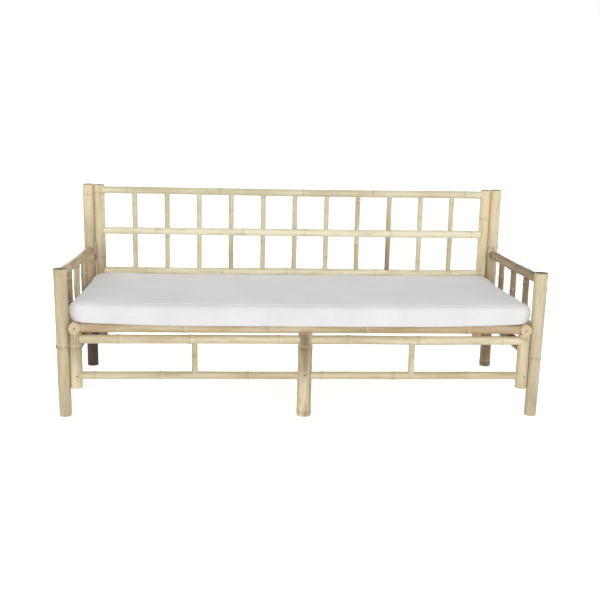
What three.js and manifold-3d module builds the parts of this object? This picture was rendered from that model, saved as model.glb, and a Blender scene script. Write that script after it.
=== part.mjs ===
// A bamboo daybed: doubled legs at the four corners, a slatted seat with a box mattress laid on it,
// slatted arms and a slatted back. Solid culms joined by round tenons, saddles and long screws.
// Millimetres. +Z is up, X runs along the seat, -Y is the open front, left is -X. The origin is on
// the floor under the middle of the overall box.
import * as THREE from "three";
import { mergeVertices } from "three/addons/utils/BufferGeometryUtils.js";
import Module from "manifold-3d";

const wasm = await Module();
wasm.setup();

// ---- overall sizes ----
const LENGTH = 2000; // over the two outer legs
const DEPTH = 800; // over the front and rear legs
const BACK_HEIGHT = 878; // top of the rear legs
const ARM_HEIGHT = 609; // top of the front legs

// ---- culm radii ----
const FRONT_LEG_TOP_R = 28;
const FRONT_LEG_FOOT_R = 24.5;
const REAR_LEG_R = 26;
const CENTRE_LEG_R = 29;
const POST_R = 24; // the inner posts that double the legs
const SEAT_SIDE_R = 22.5; // the two seat rails that run front to back
const SEAT_RAIL_R = 18;
const BEARER_R = 13;
const APRON_UPPER_R = 19;
const APRON_LOWER_R = 18;
const SIDE_LOWER_R = 22.5;
const OUTER_SIDE_R = 20;
const ARM_RAIL_R = 19.5;
const BACK_TOP_R = 18;
const BACK_MIDDLE_R = 19;
const BACK_BOTTOM_R = 18.5;
const REAR_LOWER_R = 18;
const BACK_SPINDLE_R = 11.75;
const ARM_SPINDLE_R = 13;
const APRON_SPINDLE_R = 12;

// ---- heights of axes and ends ----
const SEAT_HEIGHT = 369; // axis of the front seat rail
const SEAT_FALL = 20; // the seat is this much lower at the back posts
const POST_FOOT = 119; // the inner posts stop short of the floor
const POST_TOP_DROP = 2; // back posts end this far below the rear legs
const APRON_UPPER_DROP = 47; // upper apron rail below the seat rail
const APRON_LOWER_HEIGHT = 170;
const SIDE_LOWER_DROP = 37; // lower side rails below the upper apron rails
const OUTER_SIDE_DROP = 9; // the arms' low rails below the seat rail
const REAR_LOWER_HEIGHT = 185;
const BACK_BOTTOM_HEIGHT = 468;
const BACK_TOP_DROP = 26; // top back rail below the tops of the rear legs
const ARM_FRONT_DROP = { left: 20, right: 31 }; // arm rail below the tops of the front legs
const ARM_REAR_DROP = 46;

// ---- places along the rails ----
const SEAT_SIDE_OVERHANG = 26; // seat side rails run on past the axes of the front posts
const REAR_SEAT_RAIL_SETBACK = 46; // rear seat rail in front of the back posts' axes
const CENTRE_LEG_SHIFT = 8;
const APRON_SPINDLE_SHIFT = 16; // from the middle of each half apron towards the centre leg
const BACK_SPINDLES = 11;
const ARM_SPINDLES = 3;

// ---- joints ----
const GAP = 0.3; // clearance wherever one piece meets another
const TENON_R = 11;
const TENON_DEPTH = 16;
const SLIM_TENON_R = 8;
const POST_TENON_DEPTH = 9; // short, so that it stops under the seat rail's tenon
const SPINDLE_DEPTH = 12; // how far a spindle goes into a rail
const CENTRE_SADDLE_DEPTH = 3;
const TENON_ROOT = 6; // a tenon's cylinder runs this far back into its own culm

// ---- hollow ends ----
const LUMEN_SHARE_OF_R = 0.34; // iron bamboo is nearly solid
const LUMEN_DEPTH = 28;

// ---- long screws through the doubled legs ----
const SCREW_R = 4;
const SCREW_HEAD_R = 9;
const SCREW_HEAD_HEIGHT = 5;
const SCREW_HEAD_SINK = 2; // top of the head under the leg's surface
const SCREW_BITE = 32; // thread in the inner post
const FRONT_SCREW_LOW_DROP = 30; // below the lower apron rail
const FRONT_SCREW_HIGH_DROP = 40; // below the lower side rail
const REAR_SCREW_LOW_DROP = 50; // below the lower side rail
const REAR_SCREW_HIGH_DROP = 118; // below the tops of the rear legs

// ---- slatted deck ----
const PANELS = 4;
const SLATS_PER_PANEL = 6;
const PANEL_GAP = 2;
const SLAT_WIDTH = 46;
const SLAT_THICKNESS = 12;
const SLAT_CROWN = 3; // the slat's rounded outer skin
const BATTEN_WIDTH = 24;
const BATTEN_HEIGHT = 14;
const BATTEN_LET_IN = 1; // into the slats' flat undersides

// ---- mattress ----
const MATTRESS_HEIGHT = 92;
const MATTRESS_SIDE_CLEARANCE = 10; // to the front legs
const MATTRESS_BACK_CLEARANCE = 27; // to the back posts
const MATTRESS_OVERHANG = 10; // in front of the front legs' axes
const MATTRESS_LIFT = 0.3; // above the seat side rails that carry it
const MATTRESS_CORNER_R = 24;
const MATTRESS_EDGE_R = 14;

// ---- places that follow from the sizes ----
const FRONT_Y = -DEPTH / 2 + Math.max(FRONT_LEG_TOP_R, CENTRE_LEG_R);
const REAR_Y = DEPTH / 2 - REAR_LEG_R;
const LEG_X = LENGTH / 2 - FRONT_LEG_TOP_R;
const besideLeg = (legR, ...radii) => LEG_X - legR - GAP - Math.max(...radii);
const FRONT_POST_X = besideLeg(FRONT_LEG_TOP_R, POST_R);
const BACK_POST_X = besideLeg(REAR_LEG_R, POST_R);
const SEAT_SIDE_X = besideLeg(FRONT_LEG_TOP_R, POST_R, SEAT_SIDE_R);
const SIDE_LOWER_FRONT_X = besideLeg(FRONT_LEG_TOP_R, POST_R, SIDE_LOWER_R);
const SIDE_LOWER_BACK_X = besideLeg(REAR_LEG_R, POST_R, SIDE_LOWER_R);
const APRON_UPPER_HEIGHT = SEAT_HEIGHT - APRON_UPPER_DROP;
const SIDE_LOWER_HEIGHT = APRON_UPPER_HEIGHT - SIDE_LOWER_DROP;
const OUTER_SIDE_HEIGHT = SEAT_HEIGHT - OUTER_SIDE_DROP;
const BACK_TOP_HEIGHT = BACK_HEIGHT - BACK_TOP_DROP;
const BACK_MIDDLE_HEIGHT = (BACK_TOP_HEIGHT + BACK_BOTTOM_HEIGHT) / 2;
const SEAT_RUN = REAR_Y - FRONT_Y;
const SEAT_SLOPE = Math.atan2(SEAT_FALL, SEAT_RUN);
const SEAT_SIDE_LENGTH = Math.hypot(SEAT_RUN, SEAT_FALL);

// ---- places in the seat's own frame ----
const REAR_RAIL_Y = SEAT_SIDE_LENGTH - REAR_SEAT_RAIL_SETBACK;
const SLAT_BOTTOM_Z = SEAT_RAIL_R - SLAT_THICKNESS; // slats lie level with the seat rails
const BEARER_Z = SLAT_BOTTOM_Z - GAP - BEARER_R;

const SIDES = [
  { side: "left", sign: -1 },
  { side: "right", sign: 1 },
];
const UP = new THREE.Vector3(0, 0, 1);

const material = (color, roughness, metalness = 0) =>
  new THREE.MeshStandardMaterial({ color, roughness, metalness });
const LEG_BAMBOO = material("#cbb894", 0.5);
const RAIL_BAMBOO = material("#e0d2a8", 0.5);
const SPINDLE_BAMBOO = material("#d8c493", 0.55);
const SLAT_BAMBOO = material("#d9c698", 0.6);
const COTTON = material("#edece6", 0.9);
const ZINC_STEEL = material("#9a9a96", 0.35, 1);

const daybed = new THREE.Group();
daybed.name = "daybed";

// The seat's own frame: it starts on the front seat rail's axis and falls towards the back.
const seat = new THREE.Group();
seat.name = "seat";
seat.position.set(0, FRONT_Y, SEAT_HEIGHT);
seat.rotation.x = -SEAT_SLOPE;
daybed.add(seat);
daybed.updateMatrixWorld(true);

// ---- solids ----

const solids = new Map(); // each mesh's solid, in the mesh's own frame

function solidOf(geometry, matrix = new THREE.Matrix4()) {
  const bare = geometry.clone();
  bare.deleteAttribute("normal");
  bare.deleteAttribute("uv");
  bare.applyMatrix4(matrix);
  const merged = mergeVertices(bare, 1e-4);
  return new wasm.Manifold(
    new wasm.Mesh({
      numProp: 3,
      vertProperties: merged.getAttribute("position").array,
      triVerts: merged.index.array,
    }),
  );
}

function geometryOf(solid) {
  const { vertProperties, triVerts } = solid.getMesh();
  const geometry = new THREE.BufferGeometry();
  geometry.setAttribute("position", new THREE.BufferAttribute(vertProperties, 3));
  geometry.setIndex(new THREE.BufferAttribute(triVerts, 1));
  return geometry.toNonIndexed();
}

function fromTo(owner, mesh) {
  return mesh.matrixWorld.clone().invert().multiply(owner.matrixWorld);
}

// Cuts a shape that lies in owner's frame out of mesh.
function cut(mesh, shape, owner) {
  solids.set(mesh, solids.get(mesh).subtract(solidOf(shape, fromTo(owner, mesh))));
}

function join(mesh, shape) {
  solids.set(mesh, solids.get(mesh).add(solidOf(shape)));
}

function addPiece(name, geometry, finish, parent, position) {
  const mesh = new THREE.Mesh(geometry, finish);
  mesh.name = name;
  mesh.position.copy(position);
  parent.add(mesh);
  mesh.updateWorldMatrix(true, false);
  solids.set(mesh, solidOf(geometry));
  return mesh;
}

// ---- culms ----

const SPINDLE_FACETS = 12;
const CULM_FACETS = 16;
const facets = (radius) => (radius > ARM_SPINDLE_R ? CULM_FACETS : SPINDLE_FACETS);

// A round rod along +Z from z = start to z = end.
function rod(startR, endR, start, end, sides = facets(startR)) {
  const profile = [
    new THREE.Vector2(0, start),
    new THREE.Vector2(startR, start),
    new THREE.Vector2(endR, end),
    new THREE.Vector2(0, end),
  ];
  return new THREE.LatheGeometry(profile, sides).rotateX(Math.PI / 2);
}

function radiusAlong({ startR, endR, length }, z) {
  return startR + ((endR - startR) * z) / length;
}

// The culm's own outline, made fatter and longer by a clearance.
function sleeve(culm, grow, over = 0) {
  const { startR, endR, length } = culm.userData;
  return rod(startR + grow, endR + grow, -over, length + over, facets(startR));
}

// A culm whose axis runs between two points. Its body may stop short of either point, by trim.
function addCulm(name, from, to, radii, finish, { parent = daybed, trim = [0, 0] } = {}) {
  const [startR, endR] = Array.isArray(radii) ? radii : [radii, radii];
  const length = from.distanceTo(to);
  const size = { startR, endR, length };
  const [start, end] = [trim[0], length - trim[1]];
  const body = rod(radiusAlong(size, start), radiusAlong(size, end), start, end, facets(startR));
  const mesh = new THREE.Mesh(body, finish);
  mesh.name = name;
  mesh.userData = size;
  mesh.position.copy(from);
  mesh.quaternion.setFromUnitVectors(UP, to.clone().sub(from).normalize());
  parent.add(mesh);
  mesh.updateWorldMatrix(true, false);
  solids.set(mesh, solidOf(body));
  return mesh;
}

// The host's radius where the guest's end lies on its axis.
function hostRadius(guest, atEnd, host) {
  const z = atEnd ? guest.userData.length : 0;
  const point = new THREE.Vector3(0, 0, z).applyMatrix4(fromTo(guest, host));
  return radiusAlong(host.userData, point.z);
}

// Shapes the guest's end to the host's round side, with a round tenon that fills a hole in the host.
function tenon(guest, end, host, { radius = TENON_R, depth = TENON_DEPTH } = {}) {
  const atEnd = end === "end";
  const { length } = guest.userData;
  const surface = hostRadius(guest, atEnd, host);
  const along = (inner, outer) => (atEnd ? [length - outer, length - inner] : [inner, outer]);
  const [pegStart, pegEnd] = along(surface - depth, surface + TENON_ROOT);
  const [holeStart, holeEnd] = along(surface - depth - GAP, surface + TENON_ROOT);
  cut(guest, sleeve(host, GAP), host);
  join(guest, rod(radius, radius, pegStart, pegEnd));
  cut(host, rod(radius + GAP, radius + GAP, holeStart, holeEnd, facets(radius)), guest);
}

// Drills the host for a piece that goes into it or through it at its full width.
function socket(host, guest) {
  cut(host, sleeve(guest, GAP, GAP), guest);
}

// The small blind hollow in a culm's sawn end.
function hollowEnd(culm, end) {
  const { startR, endR, length } = culm.userData;
  const radius = (end === "end" ? endR : startR) * LUMEN_SHARE_OF_R;
  const [start, stop] = end === "end" ? [length - LUMEN_DEPTH, length + 1] : [-1, LUMEN_DEPTH];
  cut(culm, rod(radius, radius, start, stop, SPINDLE_FACETS), culm);
}

const at = (x, y, z) => new THREE.Vector3(x, y, z);

// ---- legs and inner posts ----

function addLegs({ side, sign }) {
  const x = sign * LEG_X;
  const front = addCulm(`front_leg_${side}`, at(x, FRONT_Y, 0), at(x, FRONT_Y, ARM_HEIGHT),
    [FRONT_LEG_FOOT_R, FRONT_LEG_TOP_R], LEG_BAMBOO);
  const rear = addCulm(`rear_leg_${side}`, at(x, REAR_Y, 0), at(x, REAR_Y, BACK_HEIGHT),
    REAR_LEG_R, LEG_BAMBOO);
  hollowEnd(front, "end");
  hollowEnd(rear, "end");
  return { front, rear };
}

// The front post carries the seat side rail in a saddle whose lips stop under the front seat rail;
// the back post runs up to hold the back.
function addPosts({ side, sign }) {
  const front = addCulm(`front_post_${side}`, at(sign * FRONT_POST_X, FRONT_Y, POST_FOOT),
    at(sign * FRONT_POST_X, FRONT_Y, SEAT_HEIGHT), POST_R, LEG_BAMBOO,
    { trim: [0, SEAT_RAIL_R + GAP] });
  const back = addCulm(`back_post_${side}`, at(sign * BACK_POST_X, REAR_Y, POST_FOOT),
    at(sign * BACK_POST_X, REAR_Y, BACK_HEIGHT - POST_TOP_DROP), POST_R, LEG_BAMBOO);
  hollowEnd(back, "end");
  return { front, back };
}

function addCentreLeg() {
  return addCulm("centre_leg", at(CENTRE_LEG_SHIFT, FRONT_Y, 0),
    at(CENTRE_LEG_SHIFT, FRONT_Y, SEAT_HEIGHT), CENTRE_LEG_R, LEG_BAMBOO,
    { trim: [0, SEAT_RAIL_R - CENTRE_SADDLE_DEPTH] });
}

// ---- seat frame ----

function addSeatSideRail({ side, sign }, posts) {
  const x = sign * SEAT_SIDE_X;
  const rail = addCulm(`seat_side_rail_${side}`, at(x, -SEAT_SIDE_OVERHANG, 0),
    at(x, SEAT_SIDE_LENGTH, 0), SEAT_SIDE_R, RAIL_BAMBOO, { parent: seat });
  hollowEnd(rail, "start");
  tenon(posts.front, "end", rail, { radius: SLIM_TENON_R, depth: POST_TENON_DEPTH });
  tenon(rail, "end", posts.back);
  return rail;
}

function addSeatCrossRail(name, y, z, radius, tenonRadius, sideRails) {
  const rail = addCulm(name, at(-SEAT_SIDE_X, y, z), at(SEAT_SIDE_X, y, z), radius, RAIL_BAMBOO,
    { parent: seat });
  tenon(rail, "start", sideRails.left, { radius: tenonRadius });
  tenon(rail, "end", sideRails.right, { radius: tenonRadius });
  return rail;
}

function addSeatFrame(posts, centreLeg) {
  const sideRails = {};
  for (const place of SIDES) sideRails[place.side] = addSeatSideRail(place, posts[place.side]);
  const front = addSeatCrossRail("seat_rail_front", 0, 0, SEAT_RAIL_R, SLIM_TENON_R, sideRails);
  addSeatCrossRail("seat_rail_rear", REAR_RAIL_Y, 0, SEAT_RAIL_R, SLIM_TENON_R, sideRails);
  addSeatCrossRail("seat_bearer", REAR_RAIL_Y / 2, BEARER_Z, BEARER_R, SLIM_TENON_R, sideRails);
  tenon(centreLeg, "end", front, { radius: SLIM_TENON_R });
}

// ---- slatted deck ----

// A strip split from a big culm: flat underneath, its skin side slightly round. It lies along +Y.
function slatGeometry(length) {
  const shoulder = SLAT_THICKNESS - SLAT_CROWN;
  const outline = new THREE.Shape();
  outline.moveTo(-SLAT_WIDTH / 2, 0);
  outline.lineTo(SLAT_WIDTH / 2, 0);
  outline.lineTo(SLAT_WIDTH / 2, shoulder);
  outline.quadraticCurveTo(0, SLAT_THICKNESS + SLAT_CROWN, -SLAT_WIDTH / 2, shoulder);
  const extruded = new THREE.ExtrudeGeometry(outline, {
    depth: length,
    bevelEnabled: false,
    curveSegments: 6,
  });
  return extruded.rotateX(Math.PI / 2).translate(0, length, 0);
}

// Six slats on two battens, laid between the seat rails. The panel's own frame starts at the front
// end of its slats, under the middle of the panel.
function addPanel(index) {
  const clearLength = 2 * (SEAT_SIDE_X - SEAT_SIDE_R);
  const width = (clearLength - (PANELS + 1) * PANEL_GAP) / PANELS;
  const firstX = -clearLength / 2 + PANEL_GAP + width / 2;
  const frontY = SEAT_RAIL_R + GAP;
  const slatLength = REAR_RAIL_Y - 2 * frontY;
  const battenZ = BATTEN_LET_IN - BATTEN_HEIGHT / 2;
  const battens = [BATTEN_WIDTH / 2, slatLength - BATTEN_WIDTH / 2].map((y) =>
    new THREE.BoxGeometry(width, BATTEN_WIDTH, BATTEN_HEIGHT).translate(0, y, battenZ),
  );
  const panel = addPiece(`slat_panel_${index + 1}`, battens[0], SLAT_BAMBOO, seat,
    at(firstX + index * (width + PANEL_GAP), frontY, SLAT_BOTTOM_Z));
  join(panel, battens[1]);
  const pitch = width / SLATS_PER_PANEL;
  for (let i = 0; i < SLATS_PER_PANEL; i++) {
    join(panel, slatGeometry(slatLength).translate((i + 0.5) * pitch - width / 2, 0, 0));
  }
}

// ---- mattress ----

function addMattress() {
  const halfLength = LEG_X - FRONT_LEG_TOP_R - MATTRESS_SIDE_CLEARANCE;
  const frontY = -MATTRESS_OVERHANG;
  const backY = SEAT_RUN - POST_R - MATTRESS_BACK_CLEARANCE;
  const [x, y] = [halfLength - MATTRESS_EDGE_R, (backY - frontY) / 2 - MATTRESS_EDGE_R];
  const r = MATTRESS_CORNER_R - MATTRESS_EDGE_R;
  const outline = new THREE.Shape();
  outline.absarc(x - r, y - r, r, 0, Math.PI / 2);
  outline.absarc(-x + r, y - r, r, Math.PI / 2, Math.PI);
  outline.absarc(-x + r, -y + r, r, Math.PI, 1.5 * Math.PI);
  outline.absarc(x - r, -y + r, r, 1.5 * Math.PI, 2 * Math.PI);
  const block = new THREE.ExtrudeGeometry(outline, {
    depth: MATTRESS_HEIGHT - 2 * MATTRESS_EDGE_R,
    bevelThickness: MATTRESS_EDGE_R,
    bevelSize: MATTRESS_EDGE_R,
    bevelSegments: 3,
    curveSegments: 3,
  }).translate(0, 0, MATTRESS_EDGE_R);
  addPiece("mattress", block, COTTON, seat,
    at(0, (frontY + backY) / 2, SEAT_SIDE_R + MATTRESS_LIFT));
}

// ---- apron under the front of the seat ----

function addApronHalf({ side, sign }, post, centreLeg) {
  const rails = {};
  for (const [level, z, radius] of [
    ["upper", APRON_UPPER_HEIGHT, APRON_UPPER_R],
    ["lower", APRON_LOWER_HEIGHT, APRON_LOWER_R],
  ]) {
    rails[level] = addCulm(`apron_${level}_${side}`, at(sign * FRONT_POST_X, FRONT_Y, z),
      at(CENTRE_LEG_SHIFT, FRONT_Y, z), radius, RAIL_BAMBOO);
    tenon(rails[level], "start", post);
    tenon(rails[level], "end", centreLeg);
  }
  const postFace = sign * (FRONT_POST_X - POST_R);
  const legFace = CENTRE_LEG_SHIFT + sign * CENTRE_LEG_R;
  const x = (postFace + legFace) / 2 - sign * APRON_SPINDLE_SHIFT;
  const spindle = addCulm(`apron_spindle_${side}`,
    at(x, FRONT_Y, APRON_LOWER_HEIGHT + APRON_LOWER_R - SPINDLE_DEPTH),
    at(x, FRONT_Y, APRON_UPPER_HEIGHT - APRON_UPPER_R + SPINDLE_DEPTH),
    APRON_SPINDLE_R, SPINDLE_BAMBOO);
  socket(rails.upper, spindle);
  socket(rails.lower, spindle);
}

// ---- sides and arms ----

function addSideLowerRail({ side, sign }, posts) {
  const rail = addCulm(`side_lower_rail_${side}`,
    at(sign * SIDE_LOWER_FRONT_X, FRONT_Y, SIDE_LOWER_HEIGHT),
    at(sign * SIDE_LOWER_BACK_X, REAR_Y, SIDE_LOWER_HEIGHT), SIDE_LOWER_R, RAIL_BAMBOO);
  tenon(rail, "start", posts.front);
  tenon(rail, "end", posts.back);
}

function addArm({ side, sign }, legs) {
  const x = sign * LEG_X;
  const frontZ = ARM_HEIGHT - ARM_FRONT_DROP[side];
  const rearZ = ARM_HEIGHT - ARM_REAR_DROP;
  const armRail = addCulm(`arm_rail_${side}`, at(x, FRONT_Y, frontZ), at(x, REAR_Y, rearZ),
    ARM_RAIL_R, RAIL_BAMBOO);
  const sideRail = addCulm(`outer_side_rail_${side}`, at(x, FRONT_Y, OUTER_SIDE_HEIGHT),
    at(x, REAR_Y, OUTER_SIDE_HEIGHT), OUTER_SIDE_R, RAIL_BAMBOO);
  for (const rail of [armRail, sideRail]) {
    tenon(rail, "start", legs.front);
    tenon(rail, "end", legs.rear);
  }
  for (let i = 1; i <= ARM_SPINDLES; i++) {
    const share = i / (ARM_SPINDLES + 1);
    const y = THREE.MathUtils.lerp(FRONT_Y, REAR_Y, share);
    const armZ = THREE.MathUtils.lerp(frontZ, rearZ, share);
    const spindle = addCulm(`arm_spindle_${side}_${i}`,
      at(x, y, OUTER_SIDE_HEIGHT + OUTER_SIDE_R - SPINDLE_DEPTH),
      at(x, y, armZ - ARM_RAIL_R + SPINDLE_DEPTH), ARM_SPINDLE_R, SPINDLE_BAMBOO);
    socket(sideRail, spindle);
    socket(armRail, spindle);
  }
}

// ---- back ----

function addBackRail(name, z, radius, backPosts) {
  const rail = addCulm(name, at(-BACK_POST_X, REAR_Y, z), at(BACK_POST_X, REAR_Y, z), radius,
    RAIL_BAMBOO);
  tenon(rail, "start", backPosts.left);
  tenon(rail, "end", backPosts.right);
  return rail;
}

// Eleven spindles stand in the bottom rail, pass through the middle one and end in the top one,
// with equal clear gaps from post to post.
function addBack(backPosts) {
  const rails = [
    addBackRail("back_rail_bottom", BACK_BOTTOM_HEIGHT, BACK_BOTTOM_R, backPosts),
    addBackRail("back_rail_middle", BACK_MIDDLE_HEIGHT, BACK_MIDDLE_R, backPosts),
    addBackRail("back_rail_top", BACK_TOP_HEIGHT, BACK_TOP_R, backPosts),
  ];
  addBackRail("rear_lower_rail", REAR_LOWER_HEIGHT, REAR_LOWER_R, backPosts);
  const clearLength = 2 * (BACK_POST_X - POST_R);
  const pitch = (clearLength + 2 * BACK_SPINDLE_R) / (BACK_SPINDLES + 1);
  for (let i = 0; i < BACK_SPINDLES; i++) {
    const x = (i - (BACK_SPINDLES - 1) / 2) * pitch;
    const number = String(i + 1).padStart(2, "0");
    const spindle = addCulm(`back_spindle_${number}`,
      at(x, REAR_Y, BACK_BOTTOM_HEIGHT + BACK_BOTTOM_R - SPINDLE_DEPTH),
      at(x, REAR_Y, BACK_TOP_HEIGHT - BACK_TOP_R + SPINDLE_DEPTH),
      BACK_SPINDLE_R, SPINDLE_BAMBOO);
    for (const rail of rails) socket(rail, spindle);
  }
}

// ---- screws ----

// A pan-head screw along +Z: the head starts at z = 0 and the shank ends in the inner post.
function screwGeometry(length) {
  const profile = [
    new THREE.Vector2(0, 0),
    new THREE.Vector2(SCREW_HEAD_R * 0.7, SCREW_HEAD_HEIGHT * 0.15),
    new THREE.Vector2(SCREW_HEAD_R, SCREW_HEAD_HEIGHT * 0.5),
    new THREE.Vector2(SCREW_HEAD_R, SCREW_HEAD_HEIGHT),
    new THREE.Vector2(SCREW_R, SCREW_HEAD_HEIGHT),
    new THREE.Vector2(SCREW_R, length - SCREW_R),
    new THREE.Vector2(0, length),
  ];
  return new THREE.LatheGeometry(profile, SPINDLE_FACETS).rotateX(Math.PI / 2);
}

// The stepped hole for it, open past the leg's surface.
function screwHole(length) {
  const openTo = -2 * SCREW_HEAD_SINK - FRONT_LEG_TOP_R;
  const profile = [
    new THREE.Vector2(0, openTo),
    new THREE.Vector2(SCREW_HEAD_R + GAP, openTo),
    new THREE.Vector2(SCREW_HEAD_R + GAP, SCREW_HEAD_HEIGHT + GAP),
    new THREE.Vector2(SCREW_R + GAP, SCREW_HEAD_HEIGHT + GAP),
    new THREE.Vector2(SCREW_R + GAP, length + GAP),
    new THREE.Vector2(0, length + GAP),
  ];
  return new THREE.LatheGeometry(profile, SPINDLE_FACETS).rotateX(Math.PI / 2);
}

function addScrew(name, leg, post, z) {
  const sign = Math.sign(leg.position.x);
  const legR = radiusAlong(leg.userData, z);
  const headX = sign * (LEG_X + legR - SCREW_HEAD_SINK);
  const tipX = post.position.x + sign * (POST_R - SCREW_BITE);
  const length = Math.abs(headX - tipX);
  const screw = addPiece(name, screwGeometry(length), ZINC_STEEL, daybed, at(headX, leg.position.y, z));
  screw.quaternion.setFromUnitVectors(UP, at(-sign, 0, 0));
  screw.updateWorldMatrix(true, false);
  cut(leg, screwHole(length), screw);
  cut(post, screwHole(length), screw);
}

function addScrews({ side }, legs, posts) {
  for (const [end, level, leg, post, z] of [
    ["front", "low", legs.front, posts.front, APRON_LOWER_HEIGHT - FRONT_SCREW_LOW_DROP],
    ["front", "high", legs.front, posts.front, SIDE_LOWER_HEIGHT - FRONT_SCREW_HIGH_DROP],
    ["rear", "low", legs.rear, posts.back, SIDE_LOWER_HEIGHT - REAR_SCREW_LOW_DROP],
    ["rear", "high", legs.rear, posts.back, BACK_HEIGHT - REAR_SCREW_HIGH_DROP],
  ]) {
    addScrew(`screw_${end}_${side}_${level}`, leg, post, z);
  }
}

// ---- the whole daybed ----

const legs = {};
const posts = {};
for (const place of SIDES) {
  legs[place.side] = addLegs(place);
  posts[place.side] = addPosts(place);
}
const centreLeg = addCentreLeg();
addSeatFrame(posts, centreLeg);
for (const place of SIDES) {
  addApronHalf(place, posts[place.side].front, centreLeg);
  addSideLowerRail(place, posts[place.side]);
  addArm(place, legs[place.side]);
  addScrews(place, legs[place.side], posts[place.side]);
}
addBack({ left: posts.left.back, right: posts.right.back });
for (let index = 0; index < PANELS; index++) addPanel(index);
addMattress();

for (const [mesh, solid] of solids) mesh.geometry = geometryOf(solid);

export default daybed;
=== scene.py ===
"""Looks of the bamboo daybed: culms with nodes and fibres, a split-bamboo deck and a box mattress."""
import math
from types import SimpleNamespace

import bmesh
import bpy
import numpy as np
from mathutils import Matrix, Vector, noise
from mathutils.bvhtree import BVHTree


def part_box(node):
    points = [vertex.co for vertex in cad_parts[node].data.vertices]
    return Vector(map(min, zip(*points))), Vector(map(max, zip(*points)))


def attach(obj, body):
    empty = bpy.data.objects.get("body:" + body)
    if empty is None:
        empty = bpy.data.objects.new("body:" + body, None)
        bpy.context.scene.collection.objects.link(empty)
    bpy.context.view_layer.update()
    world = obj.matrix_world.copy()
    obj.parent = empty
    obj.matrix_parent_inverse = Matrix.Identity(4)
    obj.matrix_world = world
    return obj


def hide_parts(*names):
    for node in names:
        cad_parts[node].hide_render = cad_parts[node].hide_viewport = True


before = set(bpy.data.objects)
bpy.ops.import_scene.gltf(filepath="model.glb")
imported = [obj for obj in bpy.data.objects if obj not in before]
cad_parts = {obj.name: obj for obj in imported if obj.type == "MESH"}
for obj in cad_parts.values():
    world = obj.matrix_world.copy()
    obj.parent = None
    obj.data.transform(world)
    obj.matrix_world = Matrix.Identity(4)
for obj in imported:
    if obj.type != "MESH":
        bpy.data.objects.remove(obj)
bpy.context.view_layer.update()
MM = 0.001

# Blender's names for the nodes that the trees use most.
MATH = "ShaderNodeMath"
VECTOR_MATH = "ShaderNodeVectorMath"
MAP_RANGE = "ShaderNodeMapRange"
MIX = "ShaderNodeMix"
COMBINE = "ShaderNodeCombineXYZ"
SEPARATE = "ShaderNodeSeparateXYZ"
NOISE = "ShaderNodeTexNoise"
STORE = "GeometryNodeStoreNamedAttribute"
STORED = "GeometryNodeInputNamedAttribute"
SET_MATERIAL = "GeometryNodeSetMaterial"
READ = "ShaderNodeAttribute"


# ---- small tools ----


def node(tree, kind, inputs=None, **settings):
    """Adds a node, gives it its settings, then links or fills its inputs by name or number."""
    made = tree.nodes.new(kind)
    for name, value in settings.items():
        setattr(made, name, value)
    for key, value in (inputs or {}).items():
        source = value.outputs[0] if isinstance(value, bpy.types.Node) else value
        if isinstance(source, bpy.types.NodeSocket):
            tree.links.new(source, made.inputs[key])
        else:
            made.inputs[key].default_value = source
    return made


def linear(colour):
    """An sRGB hex colour as the linear colour that a socket takes."""
    parts = [int(colour[i:i + 2], 16) / 255 for i in (1, 3, 5)]
    return (*(p / 12.92 if p <= 0.04045 else ((p + 0.055) / 1.055) ** 2.4 for p in parts), 1.0)


def new_tree(name, inputs):
    """A Geometry Nodes tree with these named inputs. Returns it with its input node's outputs."""
    tree = bpy.data.node_groups.new(name, "GeometryNodeTree")
    tree.interface.new_socket("Geometry", in_out="OUTPUT", socket_type="NodeSocketGeometry")
    for label, kind in inputs.items():
        tree.interface.new_socket(label, in_out="INPUT", socket_type="NodeSocket" + kind)
    return tree, tree.nodes.new("NodeGroupInput").outputs


SHARP_ANGLE = math.radians(38)  # two faces that meet more sharply than this keep their edge


def evaluated_mesh(piece):
    """The piece's mesh with its modifiers applied."""
    graph = bpy.context.evaluated_depsgraph_get()
    return bpy.data.meshes.new_from_object(piece.evaluated_get(graph))


def grow(name, tree, values, places=(), closed=False):
    """Runs a tree over some places, each a point and the way it faces, and keeps what it makes as a
    plain mesh object at the origin. Closed places are joined into a loop."""
    start = bpy.data.meshes.new(name + "_places")
    edges = [(i, (i + 1) % len(places)) for i in range(len(places))] if closed else []
    start.from_pydata([tuple(point) for point, _ in places], edges, [])
    facing = start.attributes.new("facing", "FLOAT_VECTOR", "POINT")
    for row, (_, way) in zip(facing.data, places):
        row.vector = way
    piece = bpy.data.objects.new(name, start)
    bpy.context.scene.collection.objects.link(piece)
    modifier = piece.modifiers.new("grow", "NODES")
    modifier.node_group = tree
    for item in tree.interface.items_tree:
        if item.in_out == "INPUT" and item.name in values:
            modifier[item.identifier] = values[item.name]
    mesh = evaluated_mesh(piece)
    piece.modifiers.clear()
    piece.data = mesh
    mesh.name = name
    mesh.shade_smooth()
    mesh.set_sharp_from_angle(angle=SHARP_ANGLE)
    return piece


def settle(piece, body, slot, *nodes):
    """Rides the piece on its body and hides the CAD nodes that it stands for. The slot is not used."""
    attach(piece, body)
    if nodes:
        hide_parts(*nodes)


def new_material(name, **sockets):
    """A material and its Principled shader, with uniform values set on the shader's own sockets."""
    material = bpy.data.materials.new(name)
    material.use_nodes = True
    tree = material.node_tree
    shader = next(n for n in tree.nodes if n.type == "BSDF_PRINCIPLED")
    for label, value in sockets.items():
        shader.inputs[label.replace("_", " ")].default_value = value
    return material, tree, shader


# ---- bamboo ----

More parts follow.
